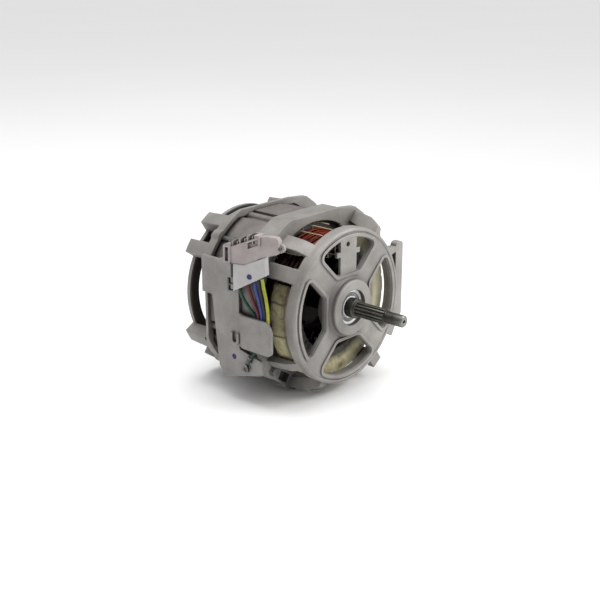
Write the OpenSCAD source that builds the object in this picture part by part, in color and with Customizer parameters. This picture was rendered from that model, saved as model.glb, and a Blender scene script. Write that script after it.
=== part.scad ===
// Open-frame washing machine motor: a square stator stack clamped between two
// die-cast end shields, a caged rotor on two ball bearings, and a splined shaft.
// The shaft lies along Y and comes out towards -Y. The origin is on the shaft
// axis, at the shoulder between the spline and the plain end. Sizes are in mm.

/* [Shaft] */
// Diameter of the plain end
plain_d = 11.5; // [9:0.5:12]
// Length of the plain end
plain_len = 20; // [14:1:30]
// Outer diameter of the spline
spline_d = 14.8; // [13.6:0.2:14.8]
// Length of the spline
spline_len = 35; // [28:1:37]
// Number of spline teeth
spline_teeth = 14; // [10:1:18]
// Depth of a spline tooth
tooth_depth = 1.3; // [0.8:0.1:1.6]
// Diameter of the centre hole in the tip
centre_hole_d = 3; // [2:0.5:4]
// Diameter of the shaft inside the rotor
rotor_seat_d = 22; // [20:1:26]
// Outer diameter of the collar in front of the bearing
collar_d = 19.2; // [18:0.1:20]

/* [Bearings] */
// Bore of both ball bearings
bearing_bore = 15; // [15:1:17]
// Outer diameter of both ball bearings
bearing_od = 35; // [33:1:37]
// Width of both ball bearings
bearing_w = 11; // [10:0.5:12]
// Diameter of a ball
ball_d = 5.9; // [5:0.1:6.2]
// Number of balls in a bearing
ball_count = 8; // [6:1:9]

/* [Front shield] */
// Distance from the shaft shoulder to the hub face
hub_y = 40; // [38:1:44]
// Diameter of the hub
hub_d = 55; // [50:1:58]
// Depth of the bearing below the hub face
bearing_recess = 4; // [2:0.5:6]
// Height of the hub face above the web
hub_proud = 7; // [5:0.5:9]
// Thickness of the web and the spokes
web_t = 4; // [3.5:0.5:6]
// How far the face rim stands out past the flats of the stack
rim_out = 0; // [-1:0.5:2]
// Radial width of the face rim
rim_w = 9; // [7:0.5:11]
// Depth of the face rim along the axis
rim_t = 11; // [9:0.5:13]
// Width of a diagonal spoke
spoke_w = 24; // [18:1:28]
// Distance from the axis to the inner edge of a window
window_in = 33; // [32:0.5:37]
// Width of the strap across the top window
strap_w = 23; // [16:1:26]
// Diameter of the hole in the strap
strap_hole_d = 5; // [3:0.5:6]

/* [Body] */
// Wall of the shields outside the flats of the stack
body_wall = 7; // [6:0.5:9]
// How far the rounded corners of the shields reach past the flats
corner_reach = 7; // [6:1:11]
// Distance from the hub face to the front frame
frame_set = 48; // [44:1:52]
// Length of the front frame along the axis
frame_len = 22; // [18:1:26]
// Length of the rear flange along the axis
flange_len = 9; // [9:1:12]
// Width of a front shield arm
arm_w = 14; // [10:0.5:15]
// Thickness of a front shield arm
arm_t = 7; // [5:0.5:8]
// How far the upper right shield corner stands out past the flats of the stack
corner_out = 25; // [20:1:28]

/* [Rear shield] */
// Length of the open gap between the flange and the rear hoop
rear_gap = 22; // [21:1:26]
// Length of the rear hoop along the axis
hoop_len = 7; // [6:1:9]
// How far the rear hoop stands out past the flats of the stack
hoop_out = 0; // [-1:0.5:2]
// Radial width of the plate behind the rear hoop
hoop_plate_w = 12; // [11:1:16]
// Width of a rear lug
lug_w = 14; // [10:1:16]
// How far the rear lugs stand out past the flats of the stack
lug_out = 11; // [8:1:15]
// Width of a rear spoke
rear_spoke_w = 18; // [14:1:22]

/* [Stator and rotor] */
// Length of the lamination stack
stack_len = 58; // [50:1:66]
// Half width of the stack across its flats
stack_half = 76; // [75:0.5:78]
// How far the rounded corners of the stack reach past its flats
stack_corner = 7; // [6:0.5:8]
// Height of the four raised flats of the stack
flat_rise = 3.5; // [2:0.5:4]
// Thickness of the yoke outside the stator slots
yoke_t = 14; // [12:0.5:16]
// Depth of a stator slot, from the bore
slot_depth = 19; // [17:0.5:20]
// Number of stator slots
slot_count = 24; // [18:6:36]
// Air gap between the rotor and the stator
air_gap = 0.5; // [0.4:0.1:1]
// Number of cage bars
bar_count = 28; // [20:1:34]
// Number of fan blades on each end ring
blade_count = 12; // [8:1:16]
// Length of a fan blade along the axis
blade_len = 14; // [8:1:15]

/* [Windings] */
// Diameter of a wound bundle
bundle_d = 7.6; // [7:0.1:8]
// Spacing of the bundles
bundle_pitch = 8.5; // [8.3:0.1:8.8]
// Distance of the outermost bundle inside the flats of the stack
bundle_inset = 7.6; // [7.6:0.1:8.4]
// Turns in each layer
layer_turns = 2; // [2:1:2]
// Thickness of the insulation wrap
wrap_t = 1.2; // [0.8:0.1:1.6]
// Angle of the bare stretch of a winding
bare_angle = 84; // [76:2:92]
// Direction of the middle of the bare stretch, from the right over the top
bare_centre = 112; // [108:1:116]
// Diameter of the lacing cord
lacing_d = 1; // [0.8:0.1:1.1]

/* [Terminal side] */
// Gap between the flats of the shields and the terminal wall
wall_gap = 1; // [0.8:0.1:3]
// Thickness of the terminal wall
wall_t = 3; // [2:0.5:3]
// Step of the cable guard out of the terminal wall
guard_step = 4.5; // [3:0.5:6]
// Distance of the connector ledge below the top flat of the shields
ledge_drop = 31; // [28:1:33]
// How far the connector ledge stands out from the terminal wall
ledge_out = 11; // [9:1:14]
// Depth of the connector housing
housing_depth = 12; // [9:0.5:13]
// Spacing of the connector pockets
pocket_pitch = 8; // [7:0.5:8.5]
// Diameter of a motor lead
lead_d = 3.2; // [2.4:0.2:3.4]

/* [Fasteners] */
// Diameter of a tie bolt
bolt_d = 5; // [4:0.5:6]
// Distance of a tie bolt outside the corners of the stack
bolt_out = 1.5; // [1:0.1:3]
// Diameter of the earth screw
earth_screw_d = 4; // [3:0.5:5]

/* [Hidden] */
$fn = 64;

// Small gap between pieces that are pressed, seated or laid against each other
seat_gap = 0.02;
// Gap round a piece that drops into its seat
loose_gap = 0.2;
// Gap between soft pieces and what they lie on
soft_gap = 0.3;
// Overlap that fuses two shapes of one casting
weld = 1;
root2 = sqrt(2);

// Stations along the shaft axis
bearing_y = hub_y + bearing_recess;
bearing_end_y = bearing_y + bearing_w;
washer_space = 2.2;
lip_t = 3;
hub_end_y = bearing_end_y + washer_space + lip_t;
web_y = hub_y + hub_proud;
rim_y = web_y - 1;
frame_y = hub_y + frame_set;
stack_set = 10;
stack_y = frame_y + stack_set;
stack_end_y = stack_y + stack_len;
frame_end_y = frame_y + frame_len;
flange_lap = 4;
flange_y = stack_end_y - flange_lap;
flange_end_y = flange_y + flange_len;
hoop_y = flange_end_y + rear_gap;
hoop_end_y = hoop_y + hoop_len;
rear_bearing_y = hoop_end_y - 3;
rear_bearing_end_y = rear_bearing_y + bearing_w;
rear_hub_end_y = rear_bearing_end_y + 2;
shaft_end_y = rear_bearing_end_y + 5;

// Radii shared by the shields, the stack and the windings
hub_r = hub_d / 2;
rim_r = stack_half + rim_out;
hoop_r = stack_half + hoop_out;
hoop_in = hoop_r - hoop_plate_w;
lug_r = stack_half + lug_out;
corner_r = stack_half + corner_out;
body_half = stack_half + body_wall;
body_r = body_half + corner_reach;
stack_r = stack_half + stack_corner;
bolt_r = stack_r + bolt_out;
slot_out_r = stack_half - yoke_t;
stator_bore = 2 * (slot_out_r - slot_depth);
bundle_r = stack_half - bundle_inset;
wall_x = body_half + wall_gap + wall_t;
ledge_x = wall_x + ledge_out;
ledge_z = body_half - ledge_drop;
mouth_r = stack_half - 0.5;
rotor_r = stator_bore / 2 - air_gap;
window_r = rim_r - rim_w;
window_corner = 4;
bead_w = 3;
bead_h = 1.6;
bead_gap = 0.6;
// Front arms: angle, share of the arm width, and how far each stands out at the rim and at the frame
arms = [
    [125, 1, 0, 7], [147, 1, 0, 7], [218, 0.8, 0, 7], [247, 0.5, 7, 15], [304, 0.9, 9, 13],
    [328, 0.9, 4, 9], [33, 0.9, 0, 7], [48, 1.1, 10, 20]
];
lug_angles = [34, 56, 124, 146, 210, 236, 304, 330];
wrap_gap = 0.3;
end_room = 0.8;
winding_out_r = bundle_r + bundle_d / 2;
winding_in_r = bundle_r - layer_turns * bundle_pitch - bundle_d / 2;
front_layers = 4;
rear_layers = 1;
wrap_out_r = winding_out_r + wrap_gap + end_room + wrap_t;
wrap_margin = bundle_d / 2 + wrap_gap + wrap_t;

// Heads and nuts of the tie bolts
bolt_head_h = 4;
nut_h = 4;
hex_d = 9.2;

// Inner shape of the ball bearings
race_r = (bearing_bore + bearing_od) / 4;
ring_t = (bearing_od - bearing_bore) / 2;
race_ring_t = 0.3 * ring_t;
ball_gap = 0.3;
cage_t = 1.2;
shield_t = 0.6;

// Colours
cast_grey = [0.64, 0.62, 0.61];
steel = [0.62, 0.62, 0.63];
dark_steel = [0.28, 0.28, 0.26];
copper = [0.62, 0.28, 0.12];
cream = [0.70, 0.67, 0.47];
moulded_grey = [0.61, 0.57, 0.56];

// A flat shape in X and Z, standing from y0 to y1
module slab(y0, y1) {
    translate([0, y1, 0]) rotate([90, 0, 0]) linear_extrude(y1 - y0) children();
}

// A shape turned about the shaft axis from a profile in radius and Y
module turned(profile) {
    rotate([-90, 0, 0]) rotate_extrude() polygon(profile);
}

// A round bar along the shaft axis
module rod(y0, y1, d) {
    translate([0, y0, 0]) rotate([-90, 0, 0]) cylinder(h = y1 - y0, d = d);
}

// A plain ring round the shaft axis
module ring(y0, y1, r_out, r_in) {
    turned([[r_in, y0], [r_out, y0], [r_out, y1], [r_in, y1]]);
}

// A flat shape in Y and Z, standing from x0 to x1
module side_slab(x0, x1) {
    translate([x0, 0, 0]) rotate([90, 0, 90]) linear_extrude(x1 - x0) children();
}

function unit(v) = v / norm(v);
function polar(r, a) = [r * cos(a), r * sin(a)];

// The points of an outline, with each corner rounded by an arc of up to radius r
function rounded(points, r, steps = 5) = [
    for (i = [0:len(points) - 1])
        let (
            n = len(points),
            p = points[i],
            u = unit(points[(i + n - 1) % n] - p),
            v = unit(points[(i + 1) % n] - p),
            half = acos(max(-1, min(1, u * v))) / 2,
            reach = r / tan(half),
            centre = p + unit(u + v) * r / sin(half),
            a = p + u * reach - centre,
            b = p + v * reach - centre
        )
        for (k = [0:steps]) centre + r * unit(a * (1 - k / steps) + b * k / steps)
];

// The rounded square outline of a shield or of the stack
module body_outline(half, r) {
    intersection() {
        circle(r, $fn = 128);
        square(2 * half, center = true);
    }
}

// A strip that runs out from the axis at an angle
module radial_strip(angle, width, r0, r1) {
    rotate(angle) translate([r0, -width / 2]) square([r1 - r0, width]);
}

// Outline of a face window about +X: an inner flat, two edges along the spokes, a rim arc
function window_half(grow) =
    let (
        c = window_corner + grow,
        apex = spoke_w / root2 - grow * root2,
        inner = window_in - grow,
        r = window_r + grow,
        shift = apex + c * root2,
        x = (shift + sqrt(2 * (r - c) * (r - c) - shift * shift)) / 2,
        limit = atan2(x - shift, x)
    )
    concat(
        [for (k = [0:6]) polar(r, limit * k / 6)],
        [for (k = [1:5]) [x, x - shift] + polar(c, limit + (135 - limit) * k / 5)],
        [for (k = [0:3]) [inner + c, inner - apex - c * (root2 - 1)] + polar(c, 135 + 15 * k)]
    );

module window_shape(grow = 0) {
    upper = window_half(grow);
    last = len(upper) - 1;
    polygon(concat(upper, [for (i = [0:last - 1]) [upper[last - i].x, -upper[last - i].y]]));
}

module front_windows() {
    for (q = [0:3]) rotate(90 * q) window_shape();
}

module window_beads() {
    for (q = [0:3]) rotate(90 * q) difference() {
        window_shape(bead_gap + bead_w);
        window_shape(bead_gap);
    }
}

// The strap across the top window, with a nub on each side
module strap_shape() {
    strap_top = window_r + rim_w / 2;
    nub = 5;
    nub_z = 50;
    translate([1 - strap_w / 2, hub_r - 1]) square([strap_w, strap_top - hub_r + 1]);
    translate([1 - strap_w / 2 - nub, nub_z]) square([strap_w + 2 * nub, nub]);
}

// Outline of the stack, with a raised flat, two seam bars and two grooves on each side
module stack_outline(gap) {
    flat_half = 18;
    flat_top = stack_half + flat_rise + gap;
    seam_d = 9;
    seam_x = flat_half + seam_d / 2 + 1;
    seam_z = stack_half + flat_rise - 1 - seam_d / 2;
    groove_d = 7;
    groove_x = seam_x + (seam_d + groove_d) / 2 - 0.5;
    difference() {
        body_outline(stack_half + gap, stack_r + gap);
        for (q = [0:3], side = [-1, 1]) rotate(90 * q)
            translate([side * groove_x, stack_half + 0.5]) circle(d = groove_d - 2 * gap, $fn = 32);
    }
    for (q = [0:3]) rotate(90 * q) {
        translate([-flat_half - gap, 0]) square([2 * (flat_half + gap), flat_top]);
        for (side = [-1, 1]) translate([side * seam_x, seam_z]) circle(d = seam_d + 2 * gap, $fn = 32);
    }
}

// Outline of both shields: a rounded square with a boss round each tie bolt
module shield_outline() {
    body_outline(body_half, body_r);
    for (q = [0:3]) rotate(45 + 90 * q) translate([bolt_r, 0]) circle(7.5);
}

// The fuller upper right corner of both shields, a web on their front side
module corner_web(y0) {
    side = body_half - 0.5;
    slab(y0, y0 + 5) intersection() {
        circle(corner_r, $fn = 128);
        polygon(rounded([[20, side], [35, side], [side - 24, side - 2.5], [side, side - 19], [side, 30]], 6));
    }
}

module tie_bolt_places() {
    for (q = [0:3]) rotate([0, 45 + 90 * q, 0]) translate([bolt_r, 0, 0]) children();
}

module tie_bolt_holes(y0, y1) {
    tie_bolt_places() rod(y0 - weld, y1 + weld, bolt_d + 2 * loose_gap);
}

module front_hub() {
    difference() {
        union() {
            turned([
                [0, hub_y], [hub_r - 1.6, hub_y], [hub_r - 0.5, hub_y + 0.5], [hub_r, hub_y + 1.6],
                [hub_r, hub_end_y], [0, hub_end_y]
            ]);
            turned([
                [0, web_y - 3], [hub_r, web_y - 3], [hub_r + 4, web_y + 1],
                [hub_r + 4, web_y + web_t], [0, web_y + web_t]
            ]);
        }
        rod(hub_y - 1, bearing_end_y + washer_space, bearing_od + 2 * seat_gap);
        rod(hub_y, hub_end_y + 1, bearing_od - 6);
    }
}

module front_face() {
    groove = 1.5;
    lip_r = window_r + bead_gap + bead_w + groove;
    difference() {
        union() {
            slab(web_y, web_y + web_t) circle(rim_r - 1, $fn = 128);
            turned([
                [lip_r, rim_y + 0.6], [lip_r + 0.8, rim_y], [rim_r - 2, rim_y], [rim_r - 0.6, rim_y + 0.8],
                [rim_r, rim_y + 2.5], [rim_r, rim_y + rim_t], [window_r + 1, rim_y + rim_t],
                [window_r + 1, web_y + 1], [lip_r, web_y + 1]
            ]);
            slab(web_y - bead_h, web_y + 1) window_beads();
        }
        slab(rim_y - 5, rim_y + rim_t + 5) front_windows();
        rod(hub_y, hub_end_y + 1, bearing_od + 2 * seat_gap);
    }
    difference() {
        slab(web_y + 0.5, web_y + web_t - 0.5) strap_shape();
        translate([0, 0, window_r - 6]) rod(web_y - 1, web_y + web_t, strap_hole_d);
        rod(web_y, web_y + web_t, hub_d - 2);
    }
}

// Arms that spread from the face rim back to the frame, cut back round the bolt heads
module front_arms() {
    y0 = rim_y + rim_t / 2;
    y1 = frame_y + weld;
    root_r = rim_r - arm_t + 1;
    clear_r = wrap_out_r + 2 * soft_gap;
    nose = 2.5;
    difference() {
        for (arm = arms) intersection() {
            turned([
                [root_r, y0], [rim_r + arm[2] - nose, y0], [rim_r + arm[2], y0 + nose],
                [rim_r + arm[2] + 0.6 * (arm[3] - arm[2]), y0 + 0.35 * (y1 - y0)], [rim_r + arm[3], y1],
                [max(mouth_r + 0.5, rim_r + arm[3] - arm_t - arm[2] / 2), y1],
                [clear_r, front_wrap_far_y - 1], [root_r, rim_y + rim_t]
            ]);
            slab(rim_y, frame_y + 2 * weld) radial_strip(arm[0], arm_w * arm[1], 50, corner_r + 5);
        }
        tie_bolt_places() rod(rim_y, frame_y, hex_d + 4);
        tie_bolt_holes(frame_y, frame_end_y);
    }
}

module front_frame() {
    pocket_in = 7;
    difference() {
        union() {
            slab(frame_y, frame_end_y) {
                shield_outline();
                radial_strip(246, 18, body_half - 6, body_r + 2);
            }
            corner_web(frame_y);
        }
        slab(stack_y, frame_end_y + 1) stack_outline(seat_gap);
        rod(frame_y - 1, stack_y + 1, 2 * mouth_r);
        tie_bolt_holes(frame_y, frame_end_y);
        slab(frame_y - 1, frame_y + pocket_in) radial_strip(237, 14, mouth_r + 3, body_r - 2.5);
    }
}

// Upright bar beside the right of the face rim, and two ears below it
module front_side_bar() {
    bar_x = rim_r + 1;
    bar_w = body_half + 5 - bar_x;
    bar_top = 46;
    bar_low = -32;
    y0 = rim_y + 4;
    y1 = rim_y + rim_t;
    reach = [polar(rim_r - 3, 32), polar(rim_r - 3, -27)];
    slab(y0, y1) {
        polygon(rounded([
            [bar_x, bar_low], [bar_x + bar_w, bar_low], [bar_x + bar_w, bar_top], [bar_x, bar_top]
        ], 4));
        polygon([[bar_x + 1, bar_top - 4], [bar_x + 1, bar_top - 9], reach[0] - [0, 6], reach[0] + [0, 4]]);
        polygon([[bar_x + 1, bar_low], [bar_x + 1, bar_low + 9], reach[1] + [0, 5], reach[1] - [0, 5]]);
        radial_strip(-31, 11, rim_r - 4, rim_r + 13);
        radial_strip(-55, 13, rim_r - 4, rim_r + 13);
    }
}

module front_end_shield() {
    color(cast_grey) union() {
        front_hub();
        front_face();
        front_arms();
        front_frame();
        front_side_bar();
    }
}

// Flange that seats the rear end of the stack, bevelled behind along its four flats
module rear_flange() {
    bevel = 6;
    difference() {
        union() {
            slab(flange_y, flange_end_y) shield_outline();
            corner_web(flange_y);
        }
        slab(flange_y - 1, stack_end_y) stack_outline(seat_gap);
        slab(flange_y - 1, stack_end_y - 1.5) body_outline(stack_half, stack_r + 3);
        rod(stack_end_y - 1, flange_end_y + 1, 2 * mouth_r);
        tie_bolt_holes(flange_y, flange_end_y);
        for (q = [0:3]) rotate([0, 90 * q, 0]) translate([0, 0, -body_half])
            linear_extrude(2 * body_half) polygon([
                [body_half - bevel, flange_end_y], [body_half + weld, flange_end_y - bevel - weld],
                [body_half + weld, flange_end_y + weld], [body_half - bevel, flange_end_y + weld]
            ]);
    }
}

module rear_lugs() {
    lug_end_y = hoop_end_y - 1;
    intersection() {
        turned([
            [mouth_r, flange_end_y - weld], [lug_r + 2, flange_end_y - weld], [lug_r, lug_end_y],
            [hoop_r - 4, lug_end_y], [hoop_r - 4, hoop_y + 1], [mouth_r, hoop_y + 1]
        ]);
        slab(flange_end_y - 2 * weld, hoop_end_y + 1)
            for (a = lug_angles) radial_strip(a, lug_w, 50, lug_r + 5);
    }
}

module rear_hoop() {
    lip = 1;
    plate_y = hoop_y + lip;
    turned([
        [hoop_r - 5, hoop_y], [hoop_r - 1, hoop_y], [hoop_r, hoop_y + 1], [hoop_r, hoop_end_y - 2],
        [hoop_r - 2, hoop_end_y], [hoop_in, hoop_end_y], [hoop_in, plate_y], [hoop_r - 5, plate_y]
    ]);
    difference() {
        union() {
            slab(plate_y, hoop_end_y)
                for (q = [0:3]) radial_strip(45 + 90 * q, rear_spoke_w, 0, hoop_in + 2);
            rod(plate_y - 4, rear_hub_end_y, hub_d - 3);
            turned([
                [0, plate_y - 2], [hub_r + 3, plate_y], [hub_r + 3, hoop_end_y], [0, hoop_end_y + 2]
            ]);
        }
        rod(plate_y - 5, rear_hub_end_y + 1, bearing_od - 6);
        rod(rear_bearing_y, rear_hub_end_y + 1, bearing_od + 2 * seat_gap);
    }
}

// Stations of the terminal wall, measured along Y
wall_rear_y = flange_y + 2.5;
wall_step_y = flange_y - 11;
wall_bend_y = flange_y - 46;
wall_front_y = flange_y - 74;
guard_front_y = flange_y - 91;
slit_top_z = 13;
guard_top_z = 2;
guard_low_z = -30;
wall_low_z = -66;

module wall_outline() {
    polygon(rounded([
        [wall_rear_y, ledge_z - 3], [wall_rear_y, slit_top_z], [wall_step_y, slit_top_z],
        [wall_step_y - 8, wall_low_z + 9], [wall_step_y - 18, wall_low_z], [wall_bend_y, wall_low_z + 5],
        [wall_front_y, wall_low_z + 12],
        [wall_front_y, guard_low_z - 10], [wall_bend_y, guard_low_z - 4], [wall_bend_y, 27],
        [wall_bend_y + 2, ledge_z - 3]
    ], 1.8));
}

// Cable guard: the wall steps outwards and runs on to the front
module cable_guard() {
    bend = 8;
    out = wall_x + guard_step;
    intersection() {
        translate([0, 0, guard_low_z]) linear_extrude(guard_top_z - guard_low_z) polygon([
            [-wall_x, wall_bend_y + weld], [-wall_x, wall_bend_y], [-out, wall_bend_y - bend],
            [-out, guard_front_y], [wall_t - out, guard_front_y], [wall_t - out, wall_bend_y - bend],
            [wall_t - wall_x, wall_bend_y], [wall_t - wall_x, wall_bend_y + weld]
        ]);
        side_slab(-out - 1, -wall_x + wall_t + 1) polygon(concat(
            [[wall_bend_y + weld, guard_low_z], [wall_bend_y + weld, guard_top_z]],
            [for (k = [0:6]) [guard_front_y + 11, guard_top_z - 11] + polar(11, 90 + 15 * k)],
            [for (k = [0:6]) [guard_front_y + 5, guard_low_z + 5] + polar(5, 180 + 15 * k)]
        ));
    }
}

// Ledge that carries the connector, open below
module connector_ledge() {
    ledge_y0 = flange_y - 47;
    ledge_y1 = flange_y - 26;
    ledge_h = 13;
    difference() {
        translate([-ledge_x, ledge_y0, ledge_z - ledge_h])
            cube([ledge_x - wall_x + wall_t, ledge_y1 - ledge_y0, ledge_h]);
        translate([-ledge_x + 3, ledge_y0 - 1, ledge_z - ledge_h - 1])
            cube([ledge_x - wall_x - 3, ledge_y1 - ledge_y0 - 2, ledge_h - 3]);
    }
}

earth_y = flange_y - 56;
earth_z = -50;
boss_y = flange_y - 42;
boss_z = -25;
boss_d = 11;
boss_slot = 5.5;
boss_h = 2.5;
boss_leg = 7;

module terminal_wall() {
    difference() {
        union() {
            side_slab(-wall_x, wall_t - wall_x) wall_outline();
            side_slab(-wall_x, weld - body_half) translate([flange_y, slit_top_z])
                square([wall_rear_y - flange_y, ledge_z - 3 - slit_top_z]);
            cable_guard();
            connector_ledge();
            translate([-wall_x - boss_h, boss_y, boss_z]) rotate([0, 90, 0])
                cylinder(h = boss_h + 1, d = boss_d);
            translate([-wall_x - boss_h, boss_y - boss_d / 2, boss_z]) cube([boss_h + 1, boss_d, boss_leg]);
        }
        translate([-wall_x - 1, earth_y, earth_z]) rotate([0, 90, 0])
            cylinder(h = wall_t + 2, d = earth_screw_d + 2 * seat_gap);
        translate([-wall_x - boss_h - 1, boss_y, boss_z]) rotate([0, 90, 0])
            cylinder(h = boss_h + 1.5, d = boss_slot);
        translate([-wall_x - boss_h - 1, boss_y - boss_slot / 2, boss_z])
            cube([boss_h + 1.5, boss_slot, boss_leg + 1]);
    }
}

module rear_end_shield() {
    color(cast_grey) union() {
        rear_flange();
        rear_lugs();
        rear_hoop();
        terminal_wall();
    }
}

// Outline of a stator slot, from its mouth at the bore outwards along +X
slot_step = 360 / slot_count;

module slot_shape() {
    mouth = 1.3;
    r0 = stator_bore / 2;
    neck = r0 + 2;
    shoulder = r0 + 4;
    low = shoulder * tan(slot_step / 2) * 0.55;
    high = slot_out_r * tan(slot_step / 2) * 0.62;
    polygon([
        [r0 - 2, -mouth], [neck, -mouth], [shoulder, -low], [slot_out_r, -high],
        [slot_out_r, high], [shoulder, low], [neck, mouth], [r0 - 2, mouth]
    ]);
}

module stator_core() {
    color([0.55, 0.53, 0.52]) difference() {
        slab(stack_y, stack_end_y) difference() {
            stack_outline(0);
            circle(d = stator_bore, $fn = 128);
            for (i = [0:slot_count - 1]) rotate(slot_step * (i + 0.5)) slot_shape();
        }
        tie_bolt_holes(stack_y, stack_end_y);
    }
}

// Points along a winding: it spirals in and out, and climbs a layer where it reverses
function winding_radius(u) =
    let (turn = u % (2 * layer_turns))
    bundle_r - bundle_pitch * (turn < layer_turns ? turn : 2 * layer_turns - turn);
function winding_climb(u, layers) =
    let (k = min(layers - 1, max(1, round(u / layer_turns))), x = u - k * layer_turns)
    layers == 1 ? 0 : k - 1 + min(1, max(0, 2 * x + 0.5));
rings_per_turn = 24;
function winding_path(first_y, step, layers) = [
    for (i = [0:rings_per_turn * layer_turns * layers])
        let (
            u = i / rings_per_turn,
            r = winding_radius(u),
            a = -90 + 360 * u
        )
        [r * cos(a), first_y + step * winding_climb(u, layers), r * sin(a)]
];

// Centre points of a tube, with a straight start and end of one tube diameter
function with_straight_ends(path, length) =
    let (n = len(path))
    concat(
        [path[0] + length * unit(path[0] - path[1])],
        path,
        [path[n - 1] + length * unit(path[n - 1] - path[n - 2])]
    );

function tangent(path, i) = unit(path[min(i + 1, len(path) - 1)] - path[max(i - 1, 0)]);
function square_to(v, t) = unit(v - (v * t) * t);

// The side direction of each ring, carried along the path without twist
function ring_sides(path, start) = [
    for (
        i = 0, side = square_to(start, tangent(path, 0));
        i < len(path);
        i = i + 1, side = i < len(path) ? square_to(side, tangent(path, i)) : side
    )
        side
];

// A tube swept along the points of a path
module tube(path, d, sides, start) {
    n = len(path);
    across = ring_sides(path, start);
    points = [
        for (i = [0:n - 1], k = [0:sides - 1])
            let (up = cross(tangent(path, i), across[i]), a = 360 * k / sides)
            path[i] + d / 2 * (across[i] * cos(a) + up * sin(a))
    ];
    walls = [
        for (i = [0:n - 2], k = [0:sides - 1])
            let (a = i * sides + k, b = i * sides + (k + 1) % sides)
            each [[a, a + sides, b], [b, a + sides, b + sides]]
    ];
    caps = [
        for (k = [1:sides - 2])
            let (e = (n - 1) * sides)
            each [[0, k, k + 1], [e, e + k + 1, e + k]]
    ];
    polyhedron(points, concat(walls, caps), convexity = 8);
}

// Least gap between turns of a path, measured on its points
function least_gap(path, d, skip) = min([
    for (i = [0:len(path) - 1], j = [i + skip:1:len(path) - 1]) norm(path[i] - path[j])
]) - d;

front_path = winding_path(stack_y - seat_gap - wrap_margin, -bundle_pitch, front_layers);
rear_path = winding_path(stack_end_y + seat_gap + wrap_margin, bundle_pitch, rear_layers);
echo("front winding least gap", least_gap(front_path, bundle_d, rings_per_turn / 2));
echo("rear winding least gap", least_gap(rear_path, bundle_d, rings_per_turn / 2));

module winding(path) {
    color(copper) tube(with_straight_ends(path, bundle_d), bundle_d, 6, [0, 1, 0]);
}

module front_winding() {
    winding(front_path);
}

module rear_winding() {
    winding(rear_path);
}

// Insulation wrap round a winding, open over the bare stretch; it covers a depth from its low end
module winding_wrap(y_near, y_far, depth) {
    r0 = winding_in_r - wrap_gap - wrap_t;
    r1 = wrap_out_r;
    y0 = min(y_near, y_far);
    y1 = max(y_near, y_far);
    c = 3;
    color(cream) rotate([-90, 0, 0]) rotate(bare_angle / 2 - bare_centre)
        rotate_extrude(angle = 360 - bare_angle) difference() {
            polygon([
                [r0 + c, y0], [r1 - c, y0], [r1, y0 + c], [r1, y1 - c], [r1 - c, y1], [r0 + c, y1],
                [r0, y1 - c], [r0, y0 + c]
            ]);
            polygon([
                [r0 + c, y0 + wrap_t], [r1 - c, y0 + wrap_t], [r1 - wrap_t, y0 + c], [r1 - wrap_t, y1 - c],
                [r1 - c, y1 - wrap_t], [r0 + c, y1 - wrap_t], [r0 + wrap_t, y1 - c], [r0 + wrap_t, y0 + c]
            ]);
            translate([0, y0 + depth]) square([r1 + 1, y1 - y0 + 1]);
        }
}

front_wrap_far_y = front_path[len(front_path) - 1][1] - wrap_margin;
rear_wrap_far_y = rear_path[len(rear_path) - 1][1] + wrap_margin;

module front_winding_wrap() {
    winding_wrap(stack_y - seat_gap, front_wrap_far_y, wrap_margin + 1.5 * bundle_pitch);
}

module rear_winding_wrap() {
    winding_wrap(stack_end_y + seat_gap, rear_wrap_far_y, rear_wrap_far_y - stack_end_y);
}

// Lacing cord wound round the bare stretch of the front winding
lacing_turns = 5;
lacing_rings = 24;
function swell(v) = sign(v) * pow(abs(v), 0.25);
lacing_mid_r = (winding_out_r + winding_in_r) / 2;
lacing_mid_y = (front_path[0][1] + front_path[len(front_path) - 1][1]) / 2;
lacing_half_r = (winding_out_r - winding_in_r) / 2 + soft_gap + lacing_d / 2;
lacing_half_y = abs(front_path[0][1] - lacing_mid_y) + bundle_d / 2 + soft_gap + lacing_d / 2;
function lacing_path() = [
    for (i = [0:lacing_turns * lacing_rings])
        let (
            f = i / lacing_rings,
            a = bare_centre + (bare_angle - 24) * (0.5 - f / lacing_turns),
            r = lacing_mid_r + lacing_half_r * swell(cos(360 * f)),
            y = lacing_mid_y - lacing_half_y * swell(sin(360 * f))
        )
        [r * cos(a), y, r * sin(a)]
];
echo("front lacing least gap", least_gap(lacing_path(), lacing_d, lacing_rings / 2));

module front_lacing() {
    color([0.86, 0.82, 0.70]) tube(with_straight_ends(lacing_path(), lacing_d), lacing_d, 6, [1, 0, 0]);
}

// Splined part of the shaft in cross-section
module spline_section() {
    root_r = spline_d / 2 - tooth_depth;
    tooth_half = 180 / spline_teeth;
    circle(root_r);
    for (i = [0:spline_teeth - 1]) rotate(360 * i / spline_teeth) polygon([
        polar(root_r - 0.3, -0.62 * tooth_half), polar(spline_d / 2, -0.34 * tooth_half),
        polar(spline_d / 2, 0.34 * tooth_half), polar(root_r - 0.3, 0.62 * tooth_half)
    ]);
}

collar_end_y = bearing_y;
shoulder_d = bearing_bore + 4;
circlip_y = rear_bearing_end_y + 0.1;
circlip_t = 1;
circlip_depth = 0.6;

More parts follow.
